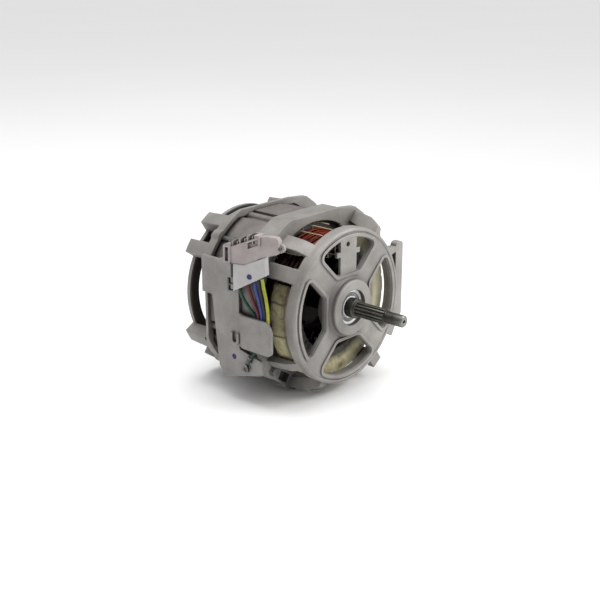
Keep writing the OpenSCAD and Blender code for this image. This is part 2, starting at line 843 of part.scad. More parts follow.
module shaft() {
    tip_r = plain_d / 2;
    hole_r = centre_hole_d / 2;
    seat_r = bearing_bore / 2;
    chamfer = 1.2;
    color(dark_steel) difference() {
        union() {
            turned([
                [0, -plain_len], [tip_r - chamfer, -plain_len], [tip_r, chamfer - plain_len], [tip_r, 0.5],
                [0, 0.5]
            ]);
            slab(0, spline_len) spline_section();
            turned([
                [0, spline_len - 1], [seat_r, spline_len - 1], [seat_r, bearing_end_y],
                [shoulder_d / 2, bearing_end_y], [shoulder_d / 2, hub_end_y + 2],
                [rotor_seat_d / 2, hub_end_y + 4], [rotor_seat_d / 2, stack_end_y + 2],
                [shoulder_d / 2, stack_end_y + 4], [shoulder_d / 2, rear_bearing_y],
                [seat_r, rear_bearing_y], [seat_r, circlip_y],
                [seat_r - circlip_depth, circlip_y], [seat_r - circlip_depth, circlip_y + circlip_t],
                [seat_r, circlip_y + circlip_t], [seat_r, shaft_end_y - 1], [seat_r - 1, shaft_end_y],
                [0, shaft_end_y]
            ]);
        }
        turned([
            [0, -plain_len - 1], [hole_r + 0.4, -plain_len - 1], [hole_r + 0.4, -plain_len],
            [hole_r, 0.4 - plain_len], [hole_r, 5 - plain_len], [0, 5 - plain_len]
        ]);
    }
}

module shaft_collar() {
    r1 = collar_d / 2;
    r0 = bearing_bore / 2 + seat_gap;
    color(dark_steel) turned([
        [r0, spline_len], [r1 - 1, spline_len], [r1, spline_len + 1], [r1, collar_end_y - 0.5],
        [r1 - 0.5, collar_end_y], [r0, collar_end_y]
    ]);
}

// Cage of the rotor: bars through the core, end rings and fan blades
bar_d = 5;
bar_r = rotor_r - bar_d / 2 - 1.2;
end_ring_t = 8;
end_ring_in = bar_r - 8;
end_ring_out = rotor_r - 1;

module bar_places() {
    for (i = [0:bar_count - 1]) rotate(360 * i / bar_count) translate([bar_r, 0]) children();
}

module rotor_core() {
    color([0.42, 0.41, 0.40]) slab(stack_y, stack_end_y) difference() {
        circle(rotor_r, $fn = 128);
        circle(d = rotor_seat_d + 2 * seat_gap);
        bar_places() circle(d = bar_d + 2 * seat_gap, $fn = 24);
    }
}

module rotor_cage() {
    color([0.70, 0.70, 0.70]) union() {
        slab(stack_y - weld, stack_end_y + weld) bar_places() circle(d = bar_d, $fn = 24);
        for (end = [0, 1]) {
            ring_y = end == 0 ? stack_y - end_ring_t : stack_end_y;
            blade_y = end == 0 ? ring_y - blade_len : ring_y + end_ring_t - weld;
            ring(ring_y, ring_y + end_ring_t, end_ring_out, end_ring_in);
            slab(blade_y, blade_y + blade_len + weld)
                for (i = [0:blade_count - 1])
                    radial_strip(360 * i / blade_count, 2.4, end_ring_in + 0.6, end_ring_out - 1);
        }
    }
}

// One ball bearing piece at a time, with its front face at y
groove_r = ball_d / 2 + ball_gap;

module bearing_groove(y) {
    translate([0, y + bearing_w / 2, 0]) rotate([-90, 0, 0])
        rotate_extrude() translate([race_r, 0]) circle(groove_r, $fn = 32);
}

module bearing_outer_ring(y) {
    r1 = bearing_od / 2;
    r0 = r1 - race_ring_t;
    c = 0.6;
    color([0.80, 0.80, 0.80]) difference() {
        turned([
            [r0, y], [r1 - c, y], [r1, y + c], [r1, y + bearing_w - c], [r1 - c, y + bearing_w],
            [r0, y + bearing_w]
        ]);
        bearing_groove(y);
    }
}

module bearing_inner_ring(y) {
    r0 = bearing_bore / 2 + seat_gap;
    r1 = bearing_bore / 2 + race_ring_t;
    c = 0.6;
    color(steel) difference() {
        turned([
            [r0 + c, y], [r1, y], [r1, y + bearing_w], [r0 + c, y + bearing_w], [r0, y + bearing_w - c],
            [r0, y + c]
        ]);
        bearing_groove(y);
    }
}

module bearing_ball_places(y) {
    for (i = [0:ball_count - 1]) rotate([0, 360 * i / ball_count, 0])
        translate([race_r, y + bearing_w / 2, 0]) children();
}

module bearing_balls(y) {
    color(steel) bearing_ball_places(y) sphere(d = ball_d, $fn = 32);
}

module bearing_cage(y) {
    half_w = 3.6;
    mid_y = y + bearing_w / 2;
    color([0.55, 0.50, 0.42]) difference() {
        ring(mid_y - half_w, mid_y + half_w, race_r + cage_t / 2, race_r - cage_t / 2);
        bearing_ball_places(y) rotate([0, 90, 0])
            cylinder(h = 4 * cage_t, d = ball_d + 2 * ball_gap, center = true);
    }
}

// Pressed steel shields on both faces, held in the outer ring
module bearing_shields(y) {
    r1 = bearing_od / 2 - race_ring_t - seat_gap;
    r0 = bearing_bore / 2 + race_ring_t + 0.3;
    inset = 0.4;
    color([0.45, 0.45, 0.46]) {
        ring(y + inset, y + inset + shield_t, r1, r0);
        ring(y + bearing_w - inset - shield_t, y + bearing_w - inset, r1, r0);
    }
}

module front_bearing_outer_ring() { bearing_outer_ring(bearing_y); }
module front_bearing_inner_ring() { bearing_inner_ring(bearing_y); }
module front_bearing_balls() { bearing_balls(bearing_y); }
module front_bearing_cage() { bearing_cage(bearing_y); }
module front_bearing_shields() { bearing_shields(bearing_y); }
module rear_bearing_outer_ring() { bearing_outer_ring(rear_bearing_y); }
module rear_bearing_inner_ring() { bearing_inner_ring(rear_bearing_y); }
module rear_bearing_balls() { bearing_balls(rear_bearing_y); }
module rear_bearing_cage() { bearing_cage(rear_bearing_y); }
module rear_bearing_shields() { bearing_shields(rear_bearing_y); }

// Spring washer that preloads the front bearing, drawn as a shallow cone
module wave_washer() {
    r1 = bearing_od / 2 - 0.3;
    r0 = r1 - 4;
    t = 0.6;
    y0 = bearing_end_y;
    y1 = bearing_end_y + washer_space;
    color(steel) turned([[r1 - 0.5, y0], [r1, y0], [r1, y0 + t], [r0 + 0.5, y1], [r0, y1], [r0, y1 - t]]);
}

module rear_circlip() {
    r0 = bearing_bore / 2 - circlip_depth + seat_gap;
    r1 = bearing_bore / 2 + 1.6;
    gap = 5;
    color(dark_steel) difference() {
        ring(circlip_y, circlip_y + circlip_t, r1, r0);
        translate([-gap / 2, circlip_y - 1, 0]) cube([gap, circlip_t + 2, r1 + 1]);
    }
}

// Tie bolts with flanged hexagon heads in front, and their nuts behind
module tie_bolts() {
    color(steel) tie_bolt_places() union() {
        rod(frame_y - 1, flange_end_y + nut_h + 2, bolt_d);
        translate([0, frame_y - bolt_head_h, 0]) rotate([-90, 0, 0])
            cylinder(h = bolt_head_h - 1, d = hex_d, $fn = 6);
        rod(frame_y - 1, frame_y, hex_d + 1);
    }
}

module tie_nuts() {
    color(steel) tie_bolt_places() difference() {
        union() {
            rod(flange_end_y, flange_end_y + 1, hex_d + 1);
            translate([0, flange_end_y + 1, 0]) rotate([-90, 0, 0]) cylinder(h = nut_h - 1, d = hex_d, $fn = 6);
        }
        rod(flange_end_y - 1, flange_end_y + nut_h + 1, bolt_d + 2 * seat_gap);
    }
}

// Connector: its own frame has x along the row, y inwards and z up
connector_turn = 14;
connector_y = flange_y - 39;
housing_len = 56;
row_rise = 12;
row_len = 28;

module connector_frame() {
    translate([-ledge_x, connector_y, ledge_z]) rotate(connector_turn - 90) children();
}

module upright(depth0, depth1) {
    translate([0, depth1, 0]) rotate([90, 0, 0]) linear_extrude(depth1 - depth0) children();
}

cover_low = -26;
cover_x0 = 10;
cover_x1 = 44;
cover_depth = 6;
seam_x0 = 21;
seam_rise = 10;
pocket_w = 6.2;
pocket_depth = 9;
pocket_wall = 1.2;

row_low = 17;
row_end = row_len + 8;
pocket_first = 4.2;
function row_height(x) = row_low + row_rise * min(1, x / row_len);
function pocket_x(i) = pocket_first + pocket_pitch * i;

module housing_outline() {
    polygon([
        [0, 0], [0, row_height(0)], [row_len, row_height(row_len)], [row_end, row_height(row_len) - 1],
        [housing_len, row_height(row_len) - 8], [housing_len, seam_rise + 5],
        [cover_x1 - 1, seam_rise], [seam_x0, 0]
    ]);
}

module pocket_places() {
    for (i = [0:3]) translate([pocket_x(i), 0, row_height(pocket_x(i))]) children();
}

module connector_housing() {
    ear_x = housing_len + 1.5;
    ear_z = seam_rise + 8;
    ear_d = 8;
    thin = 6;
    rib_w = 1.8;
    rib_h = 1.2;
    rib_gap = 2;
    latch_depth = 3;
    color(moulded_grey) connector_frame() difference() {
        union() {
            intersection() {
                upright(0, housing_depth) housing_outline();
                union() {
                    upright(0, thin) translate([0, -1]) square([housing_len, 60]);
                    upright(0, housing_depth) translate([0, -1]) square([row_end, 60]);
                }
            }
            for (x = [-rib_w / 3, rib_gap + rib_w * 2 / 3]) translate([x, -rib_h, 0])
                cube([rib_w, rib_h + 1, row_height(0) - 1]);
            translate([ear_x, thin - 3, ear_z]) rotate([-90, 0, 0]) cylinder(h = 3, d = ear_d);
        }
        pocket_places() translate([-pocket_w / 2, pocket_wall, -pocket_depth])
            cube([pocket_w, housing_depth - 2 * pocket_wall, pocket_depth + pocket_w]);
        upright(-1, pocket_wall + 0.5) polygon([
            [pocket_wall, row_height(pocket_wall) - 4], [row_len + 4, row_height(row_len) - 4],
            [row_len + 4, row_height(row_len) + 1], [pocket_wall, row_height(row_len) + 1]
        ]);
        translate([ear_x, thin - 4, ear_z]) rotate([-90, 0, 0]) cylinder(h = 5, d = 3.2);
        translate([row_len - 2, -1, row_height(row_len) - 14]) cube([11, latch_depth + 1, 10]);
        translate([rib_w * 2 / 3, -1, rib_gap]) cube([rib_gap, 3, row_height(0) - 2 * rib_gap - 1]);
    }
}

module connector_tabs() {
    tab_t = 0.8;
    tab_h = 7;
    color([0.78, 0.76, 0.70]) connector_frame() pocket_places()
        translate([-tab_t / 2, housing_depth / 2 - 2.2, -pocket_depth]) cube([tab_t, 4.4, tab_h]);
}

// Cover below the housing, with the leads coming out of its sloping lower edge
module cover_outline(inset) {
    polygon([
        [cover_x0 + inset, cover_low + inset], [cover_x0 + inset, -inset], [seam_x0, -inset],
        [cover_x1 - 1 - inset, seam_rise - inset], [cover_x1 - inset, cover_low + 19 + inset]
    ]);
}

module lead_cover() {
    wall = 1.6;
    color([0.66, 0.64, 0.62]) connector_frame() difference() {
        upright(-0.8, cover_depth) cover_outline(0);
        upright(wall - 0.8, cover_depth - wall) translate([0, -4]) cover_outline(wall + 1);
    }
}

// Spring clip between the ledge and the cover: two legs and three rungs
module connector_clip() {
    w = 4;
    t = 0.8;
    leg = 1.2;
    span = 7;
    drop = 14;
    top = -13;
    color(steel) connector_frame() translate([2.6, 1, top]) {
        for (x = [0, span - leg]) translate([x, 0, -drop]) cube([leg, w, drop]);
        for (z = [0, drop / 2, drop - t]) translate([0, 0, -z - t]) cube([span, w, t]);
        translate([0, 0, -t]) cube([cover_x0 - 2.6 - seat_gap, w, t]);
    }
}

// Earth tag: a ring under the screw, with a crimped barrel that holds the green lead
tag_t = 0.8;
barrel_d = lead_d + 1.4;
barrel_len = 7;
tag_angle = 27;
tag_reach = 7;

module tag_frame() {
    translate([-wall_x, earth_y, earth_z]) rotate([tag_angle, 0, 0]) rotate([0, -90, 0]) children();
}

module earth_tag() {
    color(steel) tag_frame() difference() {
        union() {
            cylinder(h = tag_t, d = 9);
            translate([0, -2, 0]) cube([tag_reach + 1, 4, tag_t]);
            translate([tag_reach, 0, barrel_d / 2]) rotate([0, 90, 0]) cylinder(h = barrel_len, d = barrel_d);
        }
        translate([0, 0, -1]) cylinder(h = tag_t + 2, d = earth_screw_d + 2 * seat_gap);
        translate([tag_reach - 1, 0, barrel_d / 2]) rotate([0, 90, 0])
            cylinder(h = barrel_len + 2, d = lead_d + loose_gap);
    }
}

module earth_screw() {
    head_h = 2.6;
    color(steel) translate([-wall_x - tag_t, earth_y, earth_z]) rotate([0, 90, 0]) difference() {
        union() {
            cylinder(h = tag_t + wall_t + wall_gap - loose_gap, d = earth_screw_d);
            translate([0, 0, -head_h]) cylinder(h = head_h, d = 7.4);
        }
        for (a = [0, 90]) rotate(a) translate([-2.2, -0.5, -head_h - 1]) cube([4.4, 1, 2.2]);
    }
}

// Lead routes, from the cover down behind the cable guard; points chosen by hand
function tag_point(s) =
    [-wall_x - barrel_d / 2, earth_y - s * sin(tag_angle), earth_z + s * cos(tag_angle)];
function wrap_point(along, drop) =
    let (z = ledge_z - drop) [-0.2 - sqrt(wrap_out_r * wrap_out_r - z * z), connector_y - along, z];
function hang(out, along, drop) = [-wall_x - out, connector_y - along, ledge_z - drop];
function cross_over(share, along, drop) =
    [-wrap_out_r - share * (wall_x - wrap_out_r), connector_y - along, ledge_z - drop];
green_route = [
    hang(4, 13, 25), hang(3, 15.5, 32), hang(1, 21, 41), hang(-1, 26.5, 49), hang(-1, 28, 60),
    hang(-1, 28.4, 70), hang(-1, 28, 79), hang(0.3, 26.5, 86), tag_point(14), tag_point(tag_reach + 1)
];
red_route = [
    hang(2, 21.5, 20), hang(1, 24, 28), hang(0, 28, 38), hang(-1, 31.4, 47), hang(-1, 32, 52.5),
    cross_over(0.6, 33.6, 56), cross_over(0.2, 35.2, 56.4), wrap_point(35.2, 56.4)
];
blue_route = [
    hang(0, 28, 16), hang(0, 30, 24), hang(-1, 33.2, 36), hang(-1, 35.7, 46), hang(-1, 36.2, 54),
    cross_over(0.6, 36, 59), cross_over(0.2, 35.6, 60), wrap_point(35.6, 60)
];
black_route = [
    hang(-1, 32.2, 13.5), hang(-1, 34.2, 22), hang(-1, 37.4, 34), hang(-1, 39.6, 45), hang(-1, 39.8, 56),
    cross_over(0.6, 38.4, 62.8), cross_over(0.2, 35.9, 63.6), wrap_point(35.9, 63.6)
];
yellow_route = [
    hang(-1, 36.5, 11.5), hang(-1, 38.4, 20), hang(-1, 41.6, 32), hang(-1, 43.4, 43), hang(-1, 43.4, 56),
    cross_over(0.6, 40.6, 65.8), cross_over(0.2, 36.4, 67.2), wrap_point(36.4, 67.2)
];

// Smooth curve through the points of a route
function curve_point(p, i, f) =
    let (
        n = len(p) - 1,
        a = p[max(i - 1, 0)],
        b = p[i],
        c = p[i + 1],
        d = p[min(i + 2, n)]
    )
    0.5 * (2 * b + (c - a) * f + (2 * a - 5 * b + 4 * c - d) * f * f + (3 * b - a - 3 * c + d) * f * f * f);
function smooth(p, steps) = concat(
    [for (i = [0:len(p) - 2], k = [0:steps - 1]) curve_point(p, i, k / steps)],
    [p[len(p) - 1]]
);

module lead(route, tint) {
    color(tint) tube(smooth(route, 2), lead_d, 8, [0, 1, 0]);
}

module lead_green() { lead(green_route, [0.08, 0.28, 0.18]); }
module lead_red() { lead(red_route, [0.32, 0.07, 0.12]); }
module lead_blue() { lead(blue_route, [0.22, 0.28, 0.55]); }
module lead_black() { lead(black_route, [0.06, 0.06, 0.07]); }
module lead_yellow() { lead(yellow_route, [0.66, 0.68, 0.25]); }

front_end_shield();
rear_end_shield();
stator_core();
front_winding();
rear_winding();
front_winding_wrap();
rear_winding_wrap();
front_lacing();
shaft();
rotor_core();
rotor_cage();
shaft_collar();
front_bearing_outer_ring();
front_bearing_inner_ring();
front_bearing_balls();
front_bearing_cage();
front_bearing_shields();
rear_bearing_outer_ring();
rear_bearing_inner_ring();
rear_bearing_balls();
rear_bearing_cage();
rear_bearing_shields();
wave_washer();
rear_circlip();
tie_bolts();
tie_nuts();
connector_housing();
connector_tabs();
lead_cover();
connector_clip();
earth_tag();
earth_screw();
lead_green();
lead_red();
lead_blue();
lead_black();
lead_yellow();
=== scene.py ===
# %% [markdown]
# # An open-frame washing machine motor
# The motor comes in as finished solids: two die-cast end shields, a steel stack, a rotor on
# two ball bearings and a splined shaft. This lesson dresses them. Hard pieces keep their
# solids and get real finishes. Soft and wound pieces (copper, insulation, cord and leads)
# are made anew, because a solid tube can't show strands, folds or creases. So is the
# connector housing, which has a fuller end and finer ribs than its solid.

# %% Load the motor
import math

import bmesh
import bpy
from mathutils import Matrix, Vector, noise


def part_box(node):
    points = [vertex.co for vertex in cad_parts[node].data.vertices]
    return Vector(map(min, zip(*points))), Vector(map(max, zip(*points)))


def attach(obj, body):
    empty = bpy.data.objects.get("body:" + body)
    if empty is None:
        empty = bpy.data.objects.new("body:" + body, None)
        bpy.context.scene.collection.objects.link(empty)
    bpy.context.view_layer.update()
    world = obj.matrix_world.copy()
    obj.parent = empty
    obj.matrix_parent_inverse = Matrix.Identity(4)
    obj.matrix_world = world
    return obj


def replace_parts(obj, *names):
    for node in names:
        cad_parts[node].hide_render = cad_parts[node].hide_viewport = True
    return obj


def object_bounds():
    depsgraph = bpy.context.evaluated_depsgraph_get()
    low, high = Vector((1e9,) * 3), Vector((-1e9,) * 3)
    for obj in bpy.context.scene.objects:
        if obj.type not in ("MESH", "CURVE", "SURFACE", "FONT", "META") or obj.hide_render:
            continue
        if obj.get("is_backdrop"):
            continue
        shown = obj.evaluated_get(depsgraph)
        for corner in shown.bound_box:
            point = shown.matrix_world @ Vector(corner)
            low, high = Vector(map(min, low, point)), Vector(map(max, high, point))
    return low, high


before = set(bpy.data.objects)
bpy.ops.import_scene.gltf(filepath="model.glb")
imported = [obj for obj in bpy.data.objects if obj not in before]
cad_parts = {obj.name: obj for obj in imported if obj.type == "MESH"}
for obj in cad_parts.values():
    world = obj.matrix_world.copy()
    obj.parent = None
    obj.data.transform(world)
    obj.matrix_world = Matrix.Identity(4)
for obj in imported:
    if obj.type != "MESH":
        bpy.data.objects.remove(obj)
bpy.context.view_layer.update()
MM = 0.001

# %% [markdown]
# ## The camera
# The picture was taken from the left of the shaft, a little above it, with a long lens. The
# camera is set from given values: its back, right and up directions make a rotation, and the centre of
# the hub face is held at the place where the picture shows it.

# %% Camera
def put_in_scene(name, data):
    made = bpy.data.objects.new(name, data)
    bpy.context.scene.collection.objects.link(made)
    return made


def aim_camera(azimuth, elevation, distance, hub_face, slide, lift):
    a, e = math.radians(azimuth), math.radians(elevation)
    back = Vector((math.sin(a) * math.cos(e), -math.cos(a) * math.cos(e), math.sin(e)))
    right = Vector((math.cos(a), math.sin(a), 0.0))
    up = back.cross(right)
    data = bpy.data.cameras.new("studio_camera")
    data.lens, data.sensor_width = 69.9, 36.0
    camera = put_in_scene("studio_camera", data)
    turn = Matrix((right, up, back)).transposed()
    place = Vector(hub_face) + back * distance - right * slide + up * lift
    camera.matrix_world = Matrix.Translation(place) @ turn.to_4x4()
    return camera


bpy.context.scene.camera = aim_camera(azimuth=-48.0, elevation=18.5, distance=1.1,
                                      hub_face=(0, 0.040, 0), slide=0.0505, lift=0.00727)
print("camera at", [round(v, 3) for v in bpy.context.scene.camera.matrix_world.translation])

# %% [markdown]
# ## The motor leads
# Five thin leads hang out of the connector cover and run down behind the cable guard. A bevelled
# curve is the natural way to make a lead: one line of points, and a round section swept along
# it. The points lie on the routes of the solids, in millimetres, and a smooth curve is drawn
# through them. All but the green lead, which goes to the earth tag, end on the wrap of the coil.

# %% Lead routes
LEAD_D = 3.2 * MM
HANG_X, WRAP_R, OFF_WRAP = 87, 74.5, 0.2


def smooth_line(points, steps):
    line = []
    for i in range(len(points) - 1):
        a, b = Vector(points[max(i - 1, 0)]), Vector(points[i])
        c, d = Vector(points[i + 1]), Vector(points[min(i + 2, len(points) - 1)])
        for k in range(steps):
            f = k / steps
            line.append(0.5 * (2 * b + (c - a) * f + (2 * a - 5 * b + 4 * c - d) * f ** 2
                               + (3 * b - a - 3 * c + d) * f ** 3))
    return line + [Vector(points[-1])]


def on_wrap(y, z):
    return (-OFF_WRAP - math.sqrt(WRAP_R ** 2 - z ** 2), y, z)


def to_wrap(share):
    return -WRAP_R - share * (HANG_X - WRAP_R)


turn_x, near_x = to_wrap(0.6), to_wrap(0.2)
lead_routes = {
    "green": [(-91, 100, 27), (-90, 97.5, 20), (-88, 92, 11), (-86, 86.5, 3), (-86, 85, -8),
              (-86, 84.6, -18), (-86, 85, -27), (-87.3, 86.5, -34), (-89.3, 89.64, -37.53),
              (-89.3, 92.37, -42.87)],
    "red": [(-89, 91.5, 32), (-88, 89, 24), (-87, 85, 14), (-86, 81.6, 5), (-86, 81, -0.5),
            (turn_x, 79.4, -4), (near_x, 77.8, -4.4), on_wrap(77.8, -4.4)],
    "blue": [(-87, 85, 36), (-87, 83, 28), (-86, 79.8, 16), (-86, 77.3, 6), (-86, 76.8, -2),
             (turn_x, 77, -7), (near_x, 77.4, -8), on_wrap(77.4, -8)],
    "black": [(-86, 80.8, 38.5), (-86, 78.8, 30), (-86, 75.6, 18), (-86, 73.4, 7), (-86, 73.2, -4),
              (turn_x, 74.6, -10.8), (near_x, 77.1, -11.6), on_wrap(77.1, -11.6)],
    "yellow": [(-86, 76.5, 40.5), (-86, 74.6, 32), (-86, 71.4, 20), (-86, 69.6, 9), (-86, 69.6, -4),
               (turn_x, 72.4, -13.8), (near_x, 76.6, -15.2), on_wrap(76.6, -15.2)],
}
print("route points", {colour: len(route) for colour, route in lead_routes.items()})

# %% [markdown]
# The section of each curve is a unit circle and each point carries the true radius, because
# Blender adds the points' radius to the box of a curve.

# %% Lead curves
def bevelled_curve(name, lines, thickness, rounds):
    data = bpy.data.curves.new(name, "CURVE")
    data.dimensions = "3D"
    data.bevel_depth, data.bevel_resolution = 1.0, rounds
    data.use_fill_caps = True
    for line in lines:
        spline = data.splines.new("POLY")
        spline.points.add(len(line) - 1)
        for point, place in zip(spline.points, line):
            point.co, point.radius = (*place, 1.0), thickness / 2
        spline.use_smooth = True
    return put_in_scene(name, data)


leads = {}
for colour, route in lead_routes.items():
    line = [p * MM for p in smooth_line(route, steps=4)]
    lead = bevelled_curve(f"motor_lead_{colour}", [line], LEAD_D, rounds=4)
    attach(lead, "stator_assembly")
    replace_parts(lead, f"lead_{colour}")
    leads[colour] = lead

# %% [markdown]
# ## Helpers for the finishes
# Every finish is a small network of shader nodes. One helper adds a node, sets its plain inputs
# and links the others. The next ones are the sums, ramps and blends that every network needs.

# %% Node helpers
def feed(tree, socket, value):
    if isinstance(value, bpy.types.NodeSocket):
        tree.links.new(value, socket)
    else:
        socket.default_value = value


def add(tree, kind, inputs=None, **settings):
    made = tree.nodes.new(kind)
    for key, value in settings.items():
        setattr(made, key, value)
    for key, value in (inputs or {}).items():
        feed(tree, made.inputs[key], value)
    return made


def maths(tree, operation, a, b=0.0):
    return add(tree, "ShaderNodeMath", {0: a, 1: b}, operation=operation).outputs[0]


def times(tree, a, b):
    return maths(tree, "MULTIPLY", a, b)


def ramp(tree, value, low, high, to_low=0.0, to_high=1.0):
    return add(tree, "ShaderNodeMapRange", {"Value": value, "From Min": low, "From Max": high,
                                            "To Min": to_low, "To Max": to_high}).outputs["Result"]


print("node helpers ready")

# %% [markdown]
# Colours are given as they look on a screen, from 0 to 255, and turned into the straight light
# values that shaders use. A finish is built up in coats: each lays its colour over the last one
# where a mask lets it.

# %% Colour helpers
def paint(red, green, blue):
    def straight(v):
        v = v / 255
        return v / 12.92 if v <= 0.04045 else ((v + 0.055) / 1.055) ** 2.4
    return (straight(red), straight(green), straight(blue), 1.0)


def blend(tree, share, first, second):
    return add(tree, "ShaderNodeMix", {0: share, 6: first, 7: second}, data_type="RGBA").outputs[2]


def coat(tree, tone, mask, strength, colour):
    return blend(tree, times(tree, mask, strength), tone, colour)


print("middle grey", [round(v, 3) for v in paint(128, 128, 128)])

# %% [markdown]
# Patterns need to know where on the motor a point is. Object coordinates do that, because every
# piece sits at the origin: Y runs along the shaft, and the distance from that line is the radius.

# %% Place helpers
def object_place(tree):
    return add(tree, "ShaderNodeTexCoord").outputs["Object"]


def axes(tree, vector):
    return add(tree, "ShaderNodeSeparateXYZ", {0: vector}).outputs


def shaft_radius(tree, place):
    across = add(tree, "ShaderNodeVectorMath", {0: place, 1: (1.0, 0.0, 1.0)}, operation="MULTIPLY")
    return add(tree, "ShaderNodeVectorMath", {0: across.outputs["Vector"]},
               operation="LENGTH").outputs["Value"]


def clouds(tree, place, scale, detail, roughness=0.5, distortion=0.0):
    return add(tree, "ShaderNodeTexNoise", {"Vector": place, "Scale": scale, "Detail": detail,
                                            "Roughness": roughness, "Distortion": distortion}).outputs


def wobbled(tree, value, cloud, amount):
    return maths(tree, "ADD", value, times(tree, maths(tree, "SUBTRACT", cloud, 0.5), amount))


print("place helpers ready")

# %% [markdown]
# An effect that several finishes share, such as grain, is a node group: built once, and placed in
# each finish with its own values.

# %% Group helpers
FLOAT, VECTOR = "NodeSocketFloat", "NodeSocketVector"


def open_group(name, inputs, outputs):
    tree = bpy.data.node_groups.new(name, "ShaderNodeTree")
    for key, kind, value in inputs:
        socket = tree.interface.new_socket(key, in_out="INPUT", socket_type=kind)
        socket.default_value = value
    for key, kind in outputs:
        tree.interface.new_socket(key, in_out="OUTPUT", socket_type=kind)
    return tree, tree.nodes.new("NodeGroupInput"), tree.nodes.new("NodeGroupOutput")


def use_group(tree, group, inputs):
    return add(tree, "ShaderNodeGroup", inputs, node_tree=group).outputs


print("group helpers ready")

# %% [markdown]
# ## Grain
# Die-cast metal, moulded plastic and pressed steel all have a fine skin and slow cloudy changes
# of tone. The grain group gives both: a mottle that tints the colour and a height for a bump.

# %% Grain group
def build_grain():
    tree, source, sink = open_group("surface_grain", [("Scale", FLOAT, 900.0), ("Cloud", FLOAT, 45.0)],
                                    [("Mottle", FLOAT), ("Height", FLOAT)])
    place = object_place(tree)
    fine = clouds(tree, place, source.outputs["Scale"], 3.0, 0.6)[0]
    cloud = clouds(tree, place, source.outputs["Cloud"], 4.0, 0.55)[0]
    mottle = maths(tree, "ADD", times(tree, cloud, 0.7), times(tree, fine, 0.3))
    tree.links.new(ramp(tree, mottle, 0.34, 0.66), sink.inputs["Mottle"])
    tree.links.new(fine, sink.inputs["Height"])
    return tree


grain_group = build_grain()
print("group", grain_group.name)

# %% [markdown]
# ## Soft edges
# A casting has no sharp corner. The solids do, so the Bevel node bends the normal near each
# edge, and where it bends most the edge mask is strongest. The finishes paint edges paler with it,
# partly as rubbed wear and partly as painted highlight. One group gives the normal and the mask.

# %% Soft edge group
def build_soft_edges():
    tree, source, sink = open_group("soft_edges", [("Radius", FLOAT, 0.001)],
                                    [("Normal", VECTOR), ("Edge", FLOAT)])
    bent = add(tree, "ShaderNodeBevel", {"Radius": source.outputs["Radius"]}, samples=6).outputs["Normal"]
    flat = add(tree, "ShaderNodeNewGeometry").outputs["Normal"]
    same = add(tree, "ShaderNodeVectorMath", {0: bent, 1: flat}, operation="DOT_PRODUCT").outputs["Value"]
    tree.links.new(bent, sink.inputs["Normal"])
    tree.links.new(ramp(tree, same, 0.985, 0.80), sink.inputs["Edge"])
    return tree


soft_edge_group = build_soft_edges()
print("group", soft_edge_group.name)

# %% [markdown]
# ## Painted shade in recesses
# Recesses and gaps are painted darker here, as painted shade. The Ambient Occlusion node says how open
# a point is, and noise breaks that up, so the mask is strong deep in gaps and fades out of them.

# %% Painted shade group
def build_painted_shade():
    tree, source, sink = open_group("recess_painted_shade", [("Reach", FLOAT, 0.02)], [("Mask", FLOAT)])
    opening = add(tree, "ShaderNodeAmbientOcclusion", {"Distance": source.outputs["Reach"]}, samples=8)
    cloud = clouds(tree, object_place(tree), 70.0, 3.0)[0]
    open_share = wobbled(tree, opening.outputs["AO"], cloud, 0.3)
    tree.links.new(ramp(tree, open_share, 0.72, 0.22), sink.inputs["Mask"])
    return tree


painted_shade_group = build_painted_shade()
print("group", painted_shade_group.name)

# %% [markdown]
# ## Fine lines
# Sheet edges and turning marks are both lines across the shaft. The group counts its way along the
# shaft in even steps, draws a line at each, gives each step a tone, and lets noise break the lines up.

# %% Fine line group
def build_fine_lines():
    tree, source, sink = open_group("fine_lines", [("Spacing", FLOAT, 0.001), ("Break", FLOAT, 0.4)],
                                    [("Line", FLOAT), ("Tone", FLOAT)])
    place = object_place(tree)
    step = maths(tree, "DIVIDE", axes(tree, place)["Y"], source.outputs["Spacing"])
    line = ramp(tree, maths(tree, "PINGPONG", step, 0.5), 0.12, 0.0)
    gone = times(tree, clouds(tree, place, 120.0, 2.0)[0], source.outputs["Break"])
    each = add(tree, "ShaderNodeTexWhiteNoise", {"W": maths(tree, "FLOOR", step)},
               noise_dimensions="1D").outputs["Value"]
    tree.links.new(times(tree, line, maths(tree, "SUBTRACT", 1.0, gone)), sink.inputs["Line"])
    tree.links.new(each, sink.inputs["Tone"])
    return tree


fine_line_group = build_fine_lines()
print("group", fine_line_group.name)

# %% [markdown]
# ## Paint dot
# An inspector dabs a dot of ink on a finished motor. The group measures the distance to a point
# and roughens the rim of the dot with noise, so it reads as ink and not as a printed disc.

# %% Paint dot group
INK, DOT_R = paint(38, 34, 92), 0.0028


def build_paint_dot():
    tree, source, sink = open_group("paint_dot", [("Centre", VECTOR, (0.0, 0.0, 0.0)),
                                                  ("Radius", FLOAT, 0.002)], [("Mask", FLOAT)])
    place = object_place(tree)
    away = add(tree, "ShaderNodeVectorMath", {0: place, 1: source.outputs["Centre"]},
               operation="DISTANCE").outputs["Value"]
    ragged = times(tree, clouds(tree, place, 700.0, 1.0)[0], 0.5)
    rim = maths(tree, "ADD", maths(tree, "DIVIDE", away, source.outputs["Radius"]), ragged)
    tree.links.new(ramp(tree, rim, 1.32, 1.12), sink.inputs["Mask"])
    return tree


paint_dot_group = build_paint_dot()
print("group", paint_dot_group.name)

# %% [markdown]
# ## A base for finishes
# Each finish starts from an empty material with one Principled shader. The shader stays in the
# material, and constants such as a plain metallic value are set on its own sockets.

# %% Finish base
def new_finish(name, roughness=0.5, metallic=0.0):
    finish = bpy.data.materials.new(name)
    finish.use_nodes = True
    tree = finish.node_tree
    shader = tree.nodes["Principled BSDF"]
    shader.inputs["Roughness"].default_value = roughness
    shader.inputs["Metallic"].default_value = metallic
    return finish, tree, shader


